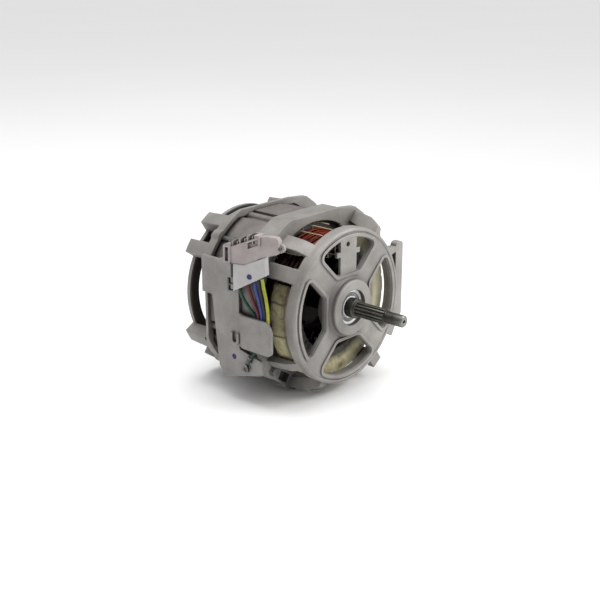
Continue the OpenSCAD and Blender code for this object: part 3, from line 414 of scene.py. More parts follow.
def bump(tree, height, distance, strength, normal=None):
    inputs = {"Height": height, "Distance": distance, "Strength": strength}
    if normal is not None:
        inputs["Normal"] = normal
    return add(tree, "ShaderNodeBump", inputs).outputs["Normal"]


def wire(tree, shader, tone, normal, roughness=None):
    tree.links.new(tone, shader.inputs["Base Color"])
    tree.links.new(normal, shader.inputs["Normal"])
    if roughness is not None:
        tree.links.new(roughness, shader.inputs["Roughness"])


def dress(finish, *nodes):
    for name in nodes:
        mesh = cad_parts[name].data
        mesh.materials.clear()
        mesh.materials.append(finish)
    print("finish", finish.name, "on", ", ".join(nodes))


print("finish base ready")

# %% [markdown]
# ## Cast aluminium
# The shields are pressure die-cast and blasted: a dull, neutral grey with a fine skin, darker cloudy
# patches, paler edges (partly rubbed wear, partly painted highlight), painted shade in the recesses,
# and one dot of ink on the terminal wall. The front-facing inner side of the rear hoop is painted
# nearly black, and a soft painted shadow lies on the spokes round the foot of the hub.

# %% Dark hoop face and painted hub shadow
HOOP_INNER, FACES_FRONT = (0.1820, 0.1825), (-0.3, -0.7)
HUB_FOOT, HUB_EDGE, SPOKE_DEPTH = (0.040, 0.028), (0.0262, 0.0272), (0.075, 0.060)


# The front-facing inner side of the rear hoop, which is painted nearly black.
def dark_hoop_face(tree, along):
    facing = axes(tree, add(tree, "ShaderNodeNewGeometry").outputs["Normal"])["Y"]
    return times(tree, ramp(tree, along, *HOOP_INNER), ramp(tree, facing, *FACES_FRONT))


# A soft painted shadow in a ring on the spokes round the foot of the hub.
def painted_hub_shadow(tree, along, radius):
    ring = times(tree, ramp(tree, radius, *HUB_FOOT), ramp(tree, radius, *HUB_EDGE))
    return times(tree, ring, ramp(tree, along, *SPOKE_DEPTH))


print("dark_face from y", HOOP_INNER[0], "painted_shadow out to radius", HUB_FOOT[0])

# %% Cast aluminium finish
WALL_DOT = (-0.0870, 0.1130, -0.0430)


def cast_finish():
    finish, tree, shader = new_finish("cast_aluminium", metallic=0.3)
    grain = use_group(tree, grain_group, {"Scale": 1100.0, "Cloud": 38.0})
    edges = use_group(tree, soft_edge_group, {"Radius": 0.0014})
    painted_shade = use_group(tree, painted_shade_group, {"Reach": 0.026})
    dot = use_group(tree, paint_dot_group, {"Centre": WALL_DOT, "Radius": DOT_R})
    place = object_place(tree)
    along, radius = axes(tree, place)["Y"], shaft_radius(tree, place)
    tone = blend(tree, grain["Mottle"], paint(126, 123, 119), paint(152, 149, 145))
    # Paler edges: partly rubbed wear, partly painted highlight.
    tone = coat(tree, tone, edges["Edge"], 0.35, paint(190, 187, 183))
    # Painted shade in the recesses.
    tone = coat(tree, tone, painted_shade["Mask"], 0.85, paint(36, 30, 26))
    # The rear hoop's front-facing inner side is painted nearly black.
    tone = coat(tree, tone, dark_hoop_face(tree, along), 0.92, paint(42, 36, 33))
    # Painted shadow round the foot of the hub.
    tone = coat(tree, tone, painted_hub_shadow(tree, along, radius), 0.55, paint(82, 74, 74))
    tone = blend(tree, dot["Mask"], tone, INK)
    wire(tree, shader, tone, bump(tree, grain["Height"], 0.00012, 0.6, edges["Normal"]),
         ramp(tree, grain["Mottle"], 0.0, 1.0, 0.62, 0.50))
    return finish


dress(cast_finish(), "front_end_shield", "rear_end_shield")

# %% [markdown]
# ## Stack and rotor steel
# The stack is hundreds of thin steel sheets. Their edges show as lines across the shaft axis, each
# sheet a little lighter or darker. The rotor has the same lines, turned smooth, and is painted much
# darker, as painted shade for its place deep inside the stator. Recesses get painted shade too.

# %% Laminated steel finishes
SHEET_LINES = 0.0011


def laminated_finish(name, dark, light, roughness):
    finish, tree, shader = new_finish(name, roughness, 0.6)
    lines = use_group(tree, fine_line_group, {"Spacing": SHEET_LINES, "Break": 0.5})
    grain = use_group(tree, grain_group, {"Scale": 500.0, "Cloud": 60.0})
    edges = use_group(tree, soft_edge_group, {"Radius": 0.0006})
    painted_shade = use_group(tree, painted_shade_group, {"Reach": 0.016})
    share = maths(tree, "ADD", times(tree, lines["Tone"], 0.2), times(tree, grain["Mottle"], 0.8))
    tone = blend(tree, share, dark, light)
    tone = coat(tree, tone, lines["Line"], 0.22, paint(60, 56, 53))
    # Painted shade in the recesses.
    tone = coat(tree, tone, painted_shade["Mask"], 0.8, paint(46, 40, 36))
    wire(tree, shader, tone, bump(tree, lines["Line"], -0.00025, 0.7, edges["Normal"]),
         ramp(tree, share, 0.0, 1.0, roughness + 0.1, roughness - 0.1))
    return finish


dress(laminated_finish("stack_steel", paint(114, 108, 105), paint(138, 132, 129), 0.52), "stator_core")
# The rotor steel is painted near black: painted shade for its place inside the stator.
dress(laminated_finish("rotor_steel", paint(34, 31, 29), paint(60, 56, 52), 0.45), "rotor_core")

# %% [markdown]
# ## Plain metals
# The other metals differ only in tone, shine and grain: the cage of the rotor, painted near black as
# painted shade, zinc on the bolts, tin on the contacts, bright bearing rings. Their edges are painted
# paler, partly as rubbed wear and partly as painted highlight. One recipe with a few values makes them all.

# %% Plain metal recipe
def metal_finish(name, dark, light, roughness, spread, edge, metallic=0.85):
    finish, tree, shader = new_finish(name, roughness, metallic)
    grain = use_group(tree, grain_group, {"Scale": 1600.0, "Cloud": 130.0})
    edges = use_group(tree, soft_edge_group, {"Radius": 0.0004})
    tone = blend(tree, grain["Mottle"], dark, light)
    # Paler edges: partly rubbed wear, partly painted highlight.
    tone = coat(tree, tone, edges["Edge"], edge, paint(226, 224, 220))
    wire(tree, shader, tone, bump(tree, grain["Height"], 0.00004, 0.5, edges["Normal"]),
         ramp(tree, grain["Mottle"], 0.0, 1.0, roughness + spread, roughness - spread))
    return finish


# The rotor cage is painted near black: painted shade for its place inside the motor.
dress(metal_finish("cage_aluminium", paint(14, 12, 11), paint(30, 27, 25),
                   roughness=0.60, spread=0.10, edge=0.04, metallic=1.0), "rotor_cage")
dress(metal_finish("bearing_steel", paint(240, 240, 239), paint(251, 251, 250),
                   roughness=0.28, spread=0.05, edge=0.3, metallic=0.1),
      "front_bearing_outer_ring", "front_bearing_inner_ring", "front_bearing_balls",
      "rear_bearing_outer_ring", "rear_bearing_inner_ring", "rear_bearing_balls")
dress(metal_finish("bearing_cage_steel", paint(120, 104, 78), paint(150, 132, 100),
                   roughness=0.35, spread=0.08, edge=0.3), "front_bearing_cage", "rear_bearing_cage")
dress(metal_finish("bearing_shield_steel", paint(92, 91, 90), paint(130, 129, 128),
                   roughness=0.38, spread=0.08, edge=0.2, metallic=0.6),
      "front_bearing_shields", "rear_bearing_shields", "wave_washer")

# %% Small metal pieces
dress(metal_finish("plated_steel", paint(98, 98, 97), paint(142, 143, 143),
                   roughness=0.36, spread=0.08, edge=0.5), "tie_bolts", "tie_nuts")
# The earth tag, its screw and the clip are dark steel with strongly paler edges: painted highlight.
dress(metal_finish("earth_steel", paint(62, 62, 60), paint(132, 132, 130),
                   roughness=0.34, spread=0.10, edge=0.9), "earth_tag", "earth_screw")
dress(metal_finish("clip_steel", paint(62, 64, 66), paint(104, 107, 110),
                   roughness=0.36, spread=0.08, edge=0.8, metallic=0.7), "connector_clip")
dress(metal_finish("contact_tin", paint(168, 163, 150), paint(205, 200, 188),
                   roughness=0.30, spread=0.08, edge=0.4), "connector_tabs")

# %% [markdown]
# ## Ground shaft
# The shaft is hardened and oiled: nearly black where the spline was rolled, paler on the crests of
# its teeth and on the plain end, which whatever it drives has polished. Turning marks run round it.

# %% Shaft finish
TOOTH_FOOT, TOOTH_TOP = (0.0064, 0.0073), (0.0080, 0.0076)
SPLINE_START, PLAIN_END = (-0.001, 0.001), (-0.010, -0.019)


def shaft_finish():
    finish, tree, shader = new_finish("shaft_steel", metallic=0.85)
    lines = use_group(tree, fine_line_group, {"Spacing": 0.0007, "Break": 0.7})
    grain = use_group(tree, grain_group, {"Scale": 900.0, "Cloud": 110.0})
    edges = use_group(tree, soft_edge_group, {"Radius": 0.0004})
    place = object_place(tree)
    along, radius = axes(tree, place)["Y"], shaft_radius(tree, place)
    crest = times(tree, ramp(tree, radius, *TOOTH_FOOT), ramp(tree, along, *SPLINE_START))
    crest = times(tree, crest, ramp(tree, radius, *TOOTH_TOP))
    tone = blend(tree, grain["Mottle"], paint(50, 49, 45), paint(84, 83, 77))
    tone = coat(tree, tone, crest, 0.7, paint(132, 130, 122))
    tone = coat(tree, tone, ramp(tree, along, *PLAIN_END), 0.5, paint(150, 149, 143))
    # Paler edges: partly rubbed wear, partly painted highlight.
    tone = coat(tree, tone, edges["Edge"], 0.25, paint(160, 159, 153))
    wire(tree, shader, tone, bump(tree, lines["Line"], -0.00005, 0.5, edges["Normal"]),
         ramp(tree, lines["Tone"], 0.0, 1.0, 0.30, 0.44))
    return finish


dress(shaft_finish(), "shaft", "shaft_collar", "rear_circlip")

# %% [markdown]
# ## Connector housing
# The housing is one moulding: a tall row of four pockets that climbs to the front, a thinner tail that
# ends in an eye, and a ladder of two ribs at the rear end. Row and tail are two outlines, each pulled
# out to its own depth, in millimetres. Ladder, eye and prong are joined on, and pockets, front slope,
# latch notch and holes are cut, all with booleans, because that is how pins in a mould make them.

# %% Housing shapes
ROW_DEPTH, TAIL_DEPTH, POCKET_WALL = 12.0, 6.0, 1.2
LOW_END, HIGH_END, SLOPE = 17.0, 29.0, 28.0
row_outline = [(0, 0), (0, LOW_END), (SLOPE, HIGH_END), (36, 28.6), (36, 7.14), (21, 0)]
tail_outline = [(35, 28), (46, 29.6), (55, 29.4), (57.2, 26.5), (57.2, 16.5), (55, 14), (42, 10), (35, 7.3)]


def prism(mesh, outline, low, high):
    face = mesh.faces.new([mesh.verts.new((x, low, z)) for x, z in outline])
    grown = bmesh.ops.extrude_face_region(mesh, geom=[face])["geom"]
    moved = [v for v in grown if isinstance(v, bmesh.types.BMVert)]
    bmesh.ops.translate(mesh, vec=(0, high - low, 0), verts=moved)


def block(mesh, low, high):
    middle, size = (Vector(low) + Vector(high)) / 2, Vector(high) - Vector(low)
    place = Matrix.Translation(middle) @ Matrix.Diagonal((*size, 1.0))
    bmesh.ops.create_cube(mesh, size=1.0, matrix=place)


def pin(mesh, x, z, low, high, across):
    place = Matrix.Translation((x, (low + high) / 2, z)) @ Matrix.Rotation(math.pi / 2, 4, "X")
    bmesh.ops.create_cone(mesh, cap_ends=True, segments=32, radius1=across / 2, radius2=across / 2,
                          depth=high - low, matrix=place)


print("outline points", len(row_outline) + len(tail_outline))

# %% Housing tools
POCKETS, HALF_POCKET, POCKET_DROP, ABOVE = (4.2, 12.2, 20.2, 28.2), 3.1, 9, 40


def mesh_data(name, mesh):
    data = bpy.data.meshes.new(name)
    mesh.to_mesh(data)
    mesh.free()
    return data


def housing_tool(name, shape, *sizes):
    mesh = bmesh.new()
    shape(mesh, *sizes)
    bmesh.ops.recalc_face_normals(mesh, faces=mesh.faces)
    return put_in_scene("housing_" + name, mesh_data("housing_" + name, mesh))


def pocket_row(mesh):
    for x in POCKETS:
        floor = LOW_END + (HIGH_END - LOW_END) * min(1, x / SLOPE) - POCKET_DROP
        block(mesh, (x - HALF_POCKET, POCKET_WALL, floor), (x + HALF_POCKET, ROW_DEPTH - POCKET_WALL, ABOVE))


print("pockets", len(POCKETS), "each", 2 * HALF_POCKET, "mm wide")

# %% Housing additions and cuts
EYE_X, EYE_Z, EYE_D, EYE_HOLE_D = 57.5, 19.5, 8.0, 3.2
notch_outline = [(25.2, 15.7), (36.5, 20.6), (36.5, 26.2), (25.2, 21.3)]
front_outline = [(7.4, 15.6), (36.6, 27.8), (36.6, ABOVE), (7.4, ABOVE)]


def housing_additions():
    return [housing_tool("tail", prism, tail_outline, 0, TAIL_DEPTH),
            housing_tool("ladder", block, (0, -1.2, 0), (7.2, 0.6, 16.5)),
            housing_tool("eye", pin, EYE_X, EYE_Z, TAIL_DEPTH - 3, TAIL_DEPTH, EYE_D),
            housing_tool("prong", block, (36.8, -1.6, 20.5), (39.0, 1, 28.4))]


def housing_cuts():
    return [housing_tool("pockets", pocket_row),
            housing_tool("front", prism, front_outline, -2, POCKET_WALL + 0.5),
            housing_tool("notch", prism, notch_outline, -2, 2.6),
            housing_tool("rung_gap", block, (1.8, -3, 1.6), (5.4, 2.5, 15)),
            housing_tool("eye_hole", pin, EYE_X, EYE_Z, TAIL_DEPTH - 9, TAIL_DEPTH + 3, EYE_HOLE_D)]


print("eye", EYE_D, "mm with a hole of", EYE_HOLE_D, "mm")

# %% Housing
HOUSING_PLACE, HOUSING_TURN = (-98, 113, 52), 14 - 90


def applied_mesh(name, made):
    graph = bpy.context.evaluated_depsgraph_get()
    mesh = bpy.data.meshes.new_from_object(made.evaluated_get(graph))
    mesh.name = name
    return mesh


def mould_housing():
    body = housing_tool("row", prism, row_outline, 0, ROW_DEPTH)
    added, cut = housing_additions(), housing_cuts()
    for tools, how in ((added, "UNION"), (cut, "DIFFERENCE")):
        for tool in tools:
            step = body.modifiers.new(tool.name, "BOOLEAN")
            step.operation, step.object, step.solver = how, tool, "EXACT"
    mesh = applied_mesh("connector_moulding", body)
    for spare in (body, *added, *cut):
        bpy.data.objects.remove(spare)
    turn = Matrix.Rotation(math.radians(HOUSING_TURN), 4, "Z")
    mesh.transform(Matrix.Scale(MM, 4) @ Matrix.Translation(HOUSING_PLACE) @ turn)
    made = put_in_scene("connector_moulding", mesh)
    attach(made, "stator_assembly")
    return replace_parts(made, "connector_housing")


housing = mould_housing()
solid_box = [[round(v, 4) for v in corner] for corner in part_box("connector_housing")]
print(housing.name, "faces", len(housing.data.polygons), "box of its solid", solid_box)

# %% [markdown]
# ## Moulded plastic
# The connector housing and its cover are grey glass-filled plastic with a fine spark-eroded skin.
# The cover is a shade paler and carries the second ink dot. Both get painted shade in their recesses
# and painted highlight along their edges.

# %% Moulded plastic finishes
COVER_DOT = (-0.09225, 0.08655, 0.0420)


def moulded_finish(name, dark, light):
    finish, tree, shader = new_finish(name)
    grain = use_group(tree, grain_group, {"Scale": 1500.0, "Cloud": 70.0})
    edges = use_group(tree, soft_edge_group, {"Radius": 0.0007})
    painted_shade = use_group(tree, painted_shade_group, {"Reach": 0.007})
    dot = use_group(tree, paint_dot_group, {"Centre": COVER_DOT, "Radius": DOT_R})
    tone = blend(tree, grain["Mottle"], dark, light)
    # Painted shade in the recesses.
    tone = coat(tree, tone, painted_shade["Mask"], 0.8, paint(54, 47, 45))
    # Painted highlight along the edges.
    tone = coat(tree, tone, edges["Edge"], 0.45, paint(222, 215, 213))
    tone = blend(tree, dot["Mask"], tone, INK)
    wire(tree, shader, tone, bump(tree, grain["Height"], 0.00008, 0.5, edges["Normal"]),
         ramp(tree, grain["Mottle"], 0.0, 1.0, 0.55, 0.44))
    return finish


housing.data.materials.append(moulded_finish("moulded_housing", paint(150, 141, 139), paint(172, 162, 160)))
dress(moulded_finish("moulded_cover", paint(166, 164, 163), paint(186, 184, 183)), "lead_cover")

# %% [markdown]
# ## Lead insulation
# Lead insulation is soft vinyl: satin, a little uneven in tone, and slightly dusty. The five leads
# share one recipe and differ only in colour.

# %% Lead finishes
def vinyl_finish(name, dark, light):
    finish, tree, shader = new_finish(name)
    grain = use_group(tree, grain_group, {"Scale": 700.0, "Cloud": 160.0})
    wire(tree, shader, blend(tree, grain["Mottle"], dark, light), bump(tree, grain["Height"], 0.00006, 0.5),
         ramp(tree, grain["Mottle"], 0.0, 1.0, 0.45, 0.32))
    return finish


lead_tones = {
    "green": (paint(9, 46, 32), paint(18, 68, 48)), "red": (paint(72, 14, 27), paint(100, 24, 38)),
    "blue": (paint(36, 50, 116), paint(60, 78, 152)), "black": (paint(14, 14, 16), paint(30, 30, 32)),
    "yellow": (paint(142, 146, 44), paint(174, 178, 68)),
}
for colour, (dark, light) in lead_tones.items():
    leads[colour].data.materials.append(vinyl_finish(f"lead_{colour}", dark, light))
print("lead finishes", len(lead_tones))

# %% [markdown]
# ## Copper windings
# A winding head is a bundle of enamelled wires that spirals in and out and climbs a layer each time.
# The solids show one thick tube; here the same line carries sixteen thin strands that twist
# round it. Each strand keeps a number of its own, and the finish turns that into its shade.

# %% Winding lines
TURNS, PITCH, OUTER_R, BUNDLE_D = 2, 8.5, 68.4, 7.6
STRANDS, STRAND_D, STEPS = 16, 1.3, 36
TWIST, SWAY, SLACK = 0.35, 0.5, 0.25


def winding_point(u, first_y, step, layers):
    part = u % (2 * TURNS)
    radius = OUTER_R - PITCH * (part if part < TURNS else 2 * TURNS - part)
    layer = min(layers - 1, max(1, round(u / TURNS)))
    climb = layer - 1 + min(1.0, max(0.0, 2 * (u - layer * TURNS) + 0.5)) if layers > 1 else 0.0
    return radius, first_y + step * climb, math.radians(-90 + 360 * u)


def strand_line(k, first_y, step, layers):
    line = []
    for i in range(STEPS * TURNS * layers + 1):
        u = i / STEPS
        radius, y, angle = winding_point(u, first_y, step, layers)
        turn = 2 * math.pi * (k / STRANDS + TWIST * u) + SWAY * math.sin(2.3 * u + 1.7 * k)
        reach = (BUNDLE_D - STRAND_D) / 2 - SLACK + SLACK * math.sin(3.1 * u + 2.9 * k)
        radius += reach * math.cos(turn)
        y += reach * math.sin(turn)
        line.append(Vector((radius * math.cos(angle), y, radius * math.sin(angle))) * MM)
    return line


print("strands", STRANDS, "of", STRAND_D, "mm")

# %% Wound coils
def wind(name, first_y, step, layers):
    lines = [strand_line(k, first_y, step, layers) for k in range(STRANDS)]
    curve = bevelled_curve(name + "_lines", lines, STRAND_D * MM, rounds=1)
    mesh = applied_mesh(name, curve)
    bpy.data.objects.remove(curve)
    each = len(mesh.vertices) // STRANDS
    numbers = [i // each * 7 % STRANDS for i in range(len(mesh.vertices))]
    shade = mesh.attributes.new("strand", "FLOAT", "POINT")
    shade.data.foreach_set("value", [n / (STRANDS - 1) for n in numbers])
    made = put_in_scene(name, mesh)
    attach(made, "stator_assembly")
    print(name, "faces", len(mesh.polygons))
    return made


front_coils = wind("front_copper_strands", first_y=92.68, step=-8.5, layers=4)
rear_coils = wind("rear_copper_strands", first_y=161.32, step=8.5, layers=1)
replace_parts(front_coils, "front_winding")
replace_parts(rear_coils, "rear_winding")

# %% [markdown]
# Enamel is a thin varnish over copper: a red-brown metal under a clear coat, darker where the
# impregnating resin pooled. Below the top of the head the copper is painted nearly black, as painted shade.

# %% Copper finish
SHADE_BELOW = (0.069, 0.060)


def copper_finish():
    finish, tree, shader = new_finish("winding_copper", metallic=0.75)
    strand = add(tree, "ShaderNodeAttribute", attribute_name="strand").outputs["Fac"]
    grain = use_group(tree, grain_group, {"Scale": 420.0, "Cloud": 70.0})
    height = axes(tree, object_place(tree))["Z"]
    tone = blend(tree, strand, paint(140, 44, 18), paint(204, 88, 38))
    tone = coat(tree, tone, grain["Mottle"], 0.5, paint(84, 26, 15))
    # Below the top of the head the copper is painted nearly black: painted shade.
    tone = blend(tree, ramp(tree, height, *SHADE_BELOW, 0.0, 0.95), tone, paint(12, 7, 5))
    wire(tree, shader, tone, bump(tree, grain["Height"], 0.00015, 0.5),
         ramp(tree, grain["Mottle"], 0.0, 1.0, 0.28, 0.46))
    shader.inputs["Coat Weight"].default_value = 0.15
    shader.inputs["Coat Roughness"].default_value = 0.25
    return finish


winding_copper = copper_finish()
for coil in (front_coils, rear_coils):
    coil.data.materials.append(winding_copper)
print("finish", winding_copper.name)

# %% [markdown]
# ## Insulation wraps
# The coil heads are wrapped in cream insulating sheet, which is folded round the copper and left
# creased. The section is a rectangle with rounded corners. It is spun about the shaft through
# the wrapped angle, then pushed in along creases and between the turns, and given its thickness.

# %% Wrap creases
WRAPPED, START = 276.0, 154.0
SINK, CREASE, SOFT, FINE = 0.45, 0.70, 0.30, 0.15
crease_angles = (161.0, 169.5, 181.0, 190.5, 199.0, 213.0, 222.0, 236.0, 247.0, 262.0, 274.0, 288.0, 300.0,
                 313.0, 327.0, 341.0, 352.0, 369.0, 383.0, 398.0, 414.0)


def crease_depth(angle, across):
    depth = 0.0
    for k, at in enumerate(crease_angles):
        lean = 2.2 * math.sin(across * 0.11 + 1.9 * k)
        depth += math.exp(-((angle - at - lean) / 1.3) ** 2)
    return min(depth, 1.0)


def crumple(vert, seed):
    angle = (math.degrees(math.atan2(vert.co.z, vert.co.x)) - START) % 360 + START
    radius, y = math.hypot(vert.co.x, vert.co.z) / MM, vert.co.y / MM
    soft = noise.noise(Vector((angle * 0.09 + seed, radius * 0.10, y * 0.10)))
    fine = noise.noise(Vector((angle * 0.35, radius * 0.25 + seed, y * 0.25)))
    depth = SINK + CREASE * crease_depth(angle, radius + y) + SOFT * soft + FINE * fine
    vert.co -= vert.normal * MM * depth


print("creases", len(crease_angles))

# %% Wrap section
WRAP_INNER, WRAP_OUTER, FOLD_R, LONG_EDGE = -46.2, -74.2, 2.5 * MM, 8 * MM


def wrap_section(mesh, low_y, high_y, open_behind):
    corners = [(WRAP_INNER, high_y), (WRAP_INNER, low_y), (WRAP_OUTER, low_y), (WRAP_OUTER, high_y)]
    points = [mesh.verts.new((x * MM, y * MM, 0)) for x, y in corners]
    for i in range(3 if open_behind else 4):
        mesh.edges.new((points[i], points[(i + 1) % 4]))
    bends = points[1:3] if open_behind else points
    bmesh.ops.bevel(mesh, geom=bends, offset=FOLD_R, segments=4, profile=0.5, affect="VERTICES", material=-1)
    long = [e for e in mesh.edges if e.calc_length() > LONG_EDGE]
    bmesh.ops.subdivide_edges(mesh, edges=long, cuts=9)


print("wrap from radius", -WRAP_INNER, "to", -WRAP_OUTER, "mm")

# %% Wrapped coils
PAPER = 0.5 * MM


def wrap_coil(name, low_y, high_y, seed, open_behind=False):
    mesh = bmesh.new()
    wrap_section(mesh, low_y, high_y, open_behind)
    turn = Matrix.Rotation(math.radians(180 - START), 4, "Y")
    bmesh.ops.transform(mesh, matrix=turn, verts=mesh.verts)
    bmesh.ops.spin(mesh, geom=mesh.verts[:] + mesh.edges[:], cent=(0, 0, 0), axis=(0, -1, 0), dvec=(0, 0, 0),
                   angle=math.radians(WRAPPED), steps=150, use_merge=False, use_duplicate=False)
    bmesh.ops.remove_doubles(mesh, verts=mesh.verts, dist=1e-6)
    bmesh.ops.recalc_face_normals(mesh, faces=mesh.faces)
    mesh.normal_update()
    for vert in mesh.verts:
        crumple(vert, seed)
    data = mesh_data(name, mesh)
    data.shade_smooth()
    made = put_in_scene(name, data)
    thick = made.modifiers.new("thickness", "SOLIDIFY")
    thick.thickness, thick.offset = PAPER, -1.0
    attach(made, "stator_assembly")
    print(name, "faces", len(data.polygons), "area", round(sum(p.area for p in data.polygons), 4))
    return made


front_wrap = wrap_coil("front_coil_wrap", low_y=62.1, high_y=79.7, seed=3.7, open_behind=True)
rear_wrap = wrap_coil("rear_coil_wrap", low_y=156.2, high_y=166.4, seed=8.1)
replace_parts(front_wrap, "front_winding_wrap")
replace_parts(rear_wrap, "rear_winding_wrap")

# %% [markdown]
# The sheet is varnished paper: pale cream, yellowed in patches and crumpled into small facets, with
# brown resin run along the creases. On the left two narrow dark lines run across it, and it carries
# painted shade under the terminal wall and along its rounded edges. On the right it is painted paler,
# as painted light. Towards the rotor it is painted nearly black, as painted shade, and its recesses
# get painted shade too.

# %% Wrap marks
DARK_LINE_HEIGHTS, DARK_LINE_WIDTH, DARK_LINE_REACH = (0.0150, -0.0170), (0.0018, 0.0002), (-0.055, -0.062)
UNDER_WALL, LEFT_HALF = (-0.020, 0.034), (-0.02, -0.06)
MIDDLE_Y, EDGE_OFF, LEFT_RIM = 0.0708, (0.0035, 0.0085), (-0.055, -0.066)


def facet_creases(tree, place):
    bend = clouds(tree, place, 60.0, 3.0)["Color"]
    bent = add(tree, "ShaderNodeVectorMath", {0: bend, 1: (0.03, 0.03, 0.03), 2: place},
               operation="MULTIPLY_ADD").outputs["Vector"]
    facet = add(tree, "ShaderNodeTexVoronoi", {"Vector": bent, "Scale": 75.0, "Randomness": 1.0},
                feature="DISTANCE_TO_EDGE").outputs["Distance"]
    return ramp(tree, facet, 0.16, 0.0, 0.0, 0.6)


# Two narrow dark lines across the left side of the wrap, at given heights.
def dark_lines_left(tree, place, parts):
    height = wobbled(tree, parts["Z"], clouds(tree, place, 160.0, 2.0)[0], 0.003)
    mask = 0.0
    for at in DARK_LINE_HEIGHTS:
        near = maths(tree, "ABSOLUTE", maths(tree, "SUBTRACT", height, at))
        mask = maths(tree, "MAXIMUM", ramp(tree, near, *DARK_LINE_WIDTH), mask)
    return times(tree, mask, ramp(tree, parts["X"], *DARK_LINE_REACH))


def shaded_left(tree, parts):
    return times(tree, ramp(tree, parts["Z"], *UNDER_WALL, 0.0, 0.7), ramp(tree, parts["X"], *LEFT_HALF))


# Painted shade along the rounded front and rear edges of the wrap on the left.
def painted_edge_shade(tree, parts, stain):
    off_middle = maths(tree, "ABSOLUTE", maths(tree, "SUBTRACT", parts["Y"], MIDDLE_Y))
    ragged = wobbled(tree, off_middle, stain, 0.006)
    return times(tree, ramp(tree, ragged, *EDGE_OFF, 0.0, 0.75), ramp(tree, parts["X"], *LEFT_RIM))


print("dark_lines at height", DARK_LINE_HEIGHTS)

# %% Wrap finish
PAINTED_LIGHT_RIGHT, SHADE_TOWARDS_ROTOR = (0.02, 0.05), (0.061, 0.053)


# Dark lines, then painted shade (recesses, under the terminal wall, rounded edges, towards the rotor) and
# painted light on the right.
def lines_light_and_shade(tree, tone, place, stain):
    parts, radius = axes(tree, place), shaft_radius(tree, place)
    painted_shade = use_group(tree, painted_shade_group, {"Reach": 0.012})
    tone = coat(tree, tone, dark_lines_left(tree, place, parts), 0.8, paint(48, 38, 26))
    tone = coat(tree, tone, painted_shade["Mask"], 0.4, paint(50, 40, 26))
    tone = blend(tree, shaded_left(tree, parts), tone, paint(62, 56, 36))
    tone = blend(tree, painted_edge_shade(tree, parts, stain), tone, paint(70, 56, 34))
    # The right side is painted paler: painted light.
    tone = blend(tree, ramp(tree, parts["X"], *PAINTED_LIGHT_RIGHT, 0.0, 0.7), tone, paint(226, 219, 190))
    # Towards the rotor the wrap is painted nearly black: painted shade.
    return blend(tree, ramp(tree, radius, *SHADE_TOWARDS_ROTOR, 0.0, 0.94), tone, paint(22, 16, 11))


def wrap_finish():
    finish, tree, shader = new_finish("insulation_cream")
    grain = use_group(tree, grain_group, {"Scale": 600.0, "Cloud": 55.0})
    place = object_place(tree)
    stain = clouds(tree, place, 80.0, 5.0, 0.7, 0.8)[0]
    crease = facet_creases(tree, place)
    resin = times(tree, crease, ramp(tree, stain, 0.44, 0.66))
    tone = blend(tree, grain["Mottle"], paint(166, 158, 120), paint(206, 200, 164))
    tone = blend(tree, ramp(tree, stain, 0.54, 0.74, 0.0, 0.75), tone, paint(104, 84, 52))
    tone = blend(tree, resin, tone, paint(112, 94, 60))
    relief = maths(tree, "SUBTRACT", times(tree, stain, 0.5), times(tree, crease, 0.5))
    wire(tree, shader, lines_light_and_shade(tree, tone, place, stain), bump(tree, relief, 0.0014, 0.7),
         ramp(tree, stain, 0.35, 0.70, 0.60, 0.38))
    return finish


insulation_cream = wrap_finish()
for wrap in (front_wrap, rear_wrap):
    wrap.data.materials.append(insulation_cream)
print("finish", insulation_cream.name)

# %% [markdown]
# ## Lacing cord
# The bare copper at the top is tied down with a thin waxed cord that goes round and round the head.
# Two thin strands twisted about one line make it read as cord and not as wire.

# %% Lacing shape
BARE, BARE_MIDDLE, END_GAP = 84.0, 112.0, 24.0
LOOPS, LOOP_POINTS, TWISTS = 5, 60, 9
MID_R, HALF_R, MID_Y, HALF_Y = 59.9, 13.1, 79.93, 17.35
PLY_D, PLY_OFF = 0.6 * MM, 0.22


def swell(v):
    return math.copysign(abs(v) ** 0.25, v)


def lacing_line(strand):
    line = []
    for i in range(LOOPS * LOOP_POINTS + 1):
        f = i / LOOP_POINTS
        angle = math.radians(BARE_MIDDLE + (BARE - END_GAP) * (0.5 - f / LOOPS))
        turn = 2 * math.pi * (TWISTS * f + strand / 2)
        r = MID_R + HALF_R * swell(math.cos(2 * math.pi * f)) + PLY_OFF * math.cos(turn)
        y = MID_Y - HALF_Y * swell(math.sin(2 * math.pi * f)) + PLY_OFF * math.sin(turn)
        line.append(Vector((r * math.cos(angle), y, r * math.sin(angle))) * MM)
    return line


lacing = bevelled_curve("front_lacing_cord", [lacing_line(0), lacing_line(1)], PLY_D, rounds=1)
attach(lacing, "stator_assembly")
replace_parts(lacing, "front_lacing")
print(lacing.name, "loops", LOOPS)

# %% Lacing finish
def cord_finish():
    finish, tree, shader = new_finish("lacing_cord", 0.7)
    grain = use_group(tree, grain_group, {"Scale": 900.0, "Cloud": 150.0})
    tone = blend(tree, grain["Mottle"], paint(188, 176, 140), paint(226, 216, 184))
    wire(tree, shader, tone, bump(tree, grain["Height"], 0.0001, 0.6))
    return finish


lacing.data.materials.append(cord_finish())
print("finish", lacing.data.materials[0].name)

# %% [markdown]
# ## Floor and light
# The motor was shot on white. A wide pale floor fills the view. A near lamp at the right front and
# a wide one above, in a bright room, give the soft light of a catalogue picture.

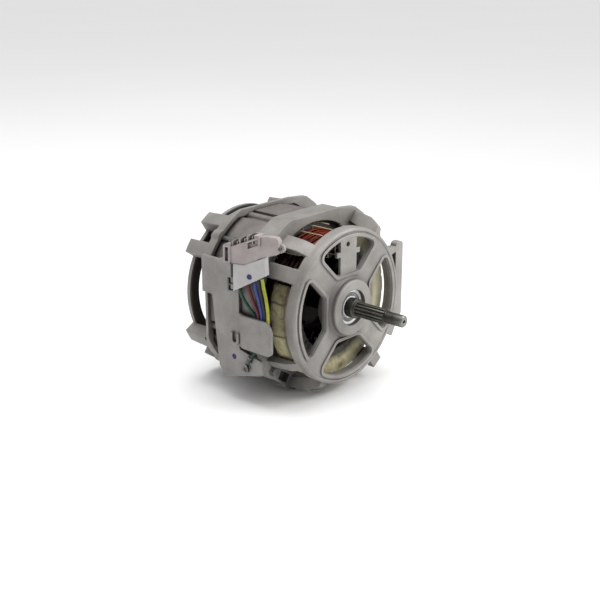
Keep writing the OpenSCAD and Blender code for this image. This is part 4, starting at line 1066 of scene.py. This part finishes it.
# %% Floor
FLOOR_SIZE, FLOOR_GAP = 14.0, 0.0005


def lay_floor(height):
    mesh = bmesh.new()
    bmesh.ops.create_grid(mesh, x_segments=1, y_segments=1, size=FLOOR_SIZE,
                          matrix=Matrix.Translation((0, 0, height)))
    floor = put_in_scene("pale_floor", mesh_data("pale_floor", mesh))
    finish, tree, shader = new_finish("pale_floor", 0.9)
    cloud = clouds(tree, object_place(tree), 3.0, 2.0)[0]
    tone = blend(tree, cloud, paint(250, 250, 250), paint(253, 253, 253))
    tree.links.new(tone, shader.inputs["Base Color"])
    floor.data.materials.append(finish)
    floor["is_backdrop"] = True
    return floor


floor = lay_floor(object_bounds()[0].z - FLOOR_GAP)
print("floor at", round(floor.data.vertices[0].co.z, 4))

# %% Lamps and room
def hang_lamp(name, place, look, size, power):
    data = bpy.data.lights.new(name, "AREA")
    data.shape, data.size, data.energy = "DISK", size, power
    lamp = put_in_scene(name, data)
    lamp.location = place
    lamp.rotation_euler = (Vector(look) - Vector(place)).to_track_quat("-Z", "Y").to_euler()


def light_room(left, right, above, foot):
    world = bpy.data.worlds.new("white_room")
    world.use_nodes = True
    tree = world.node_tree
    parts = axes(tree, add(tree, "ShaderNodeTexCoord").outputs["Generated"])
    wall = ramp(tree, parts["X"], -1.0, 1.0, left, right)
    light = maths(tree, "MAXIMUM", wall, ramp(tree, parts["Z"], 0.35, 0.80, 0.0, above))
    light = maths(tree, "MAXIMUM", light, ramp(tree, parts["Z"], 0.0, 0.12, foot, 0.0))
    tree.links.new(light, tree.nodes["Background"].inputs["Strength"])
    tree.nodes["Background"].inputs["Color"].default_value = (1, 1, 1, 1)
    return world


hang_lamp("key_lamp", place=(0.22, -0.26, 0.22), look=(0.03, 0.06, 0.01), size=0.24, power=1.30)
hang_lamp("top_lamp", place=(-0.10, 0.40, 1.70), look=(0, 0.09, 0), size=1.2, power=16.0)
bpy.context.scene.world = light_room(left=0.44, right=0.50, above=1.05, foot=0.78)
bpy.context.scene.view_settings.view_transform = "Standard"
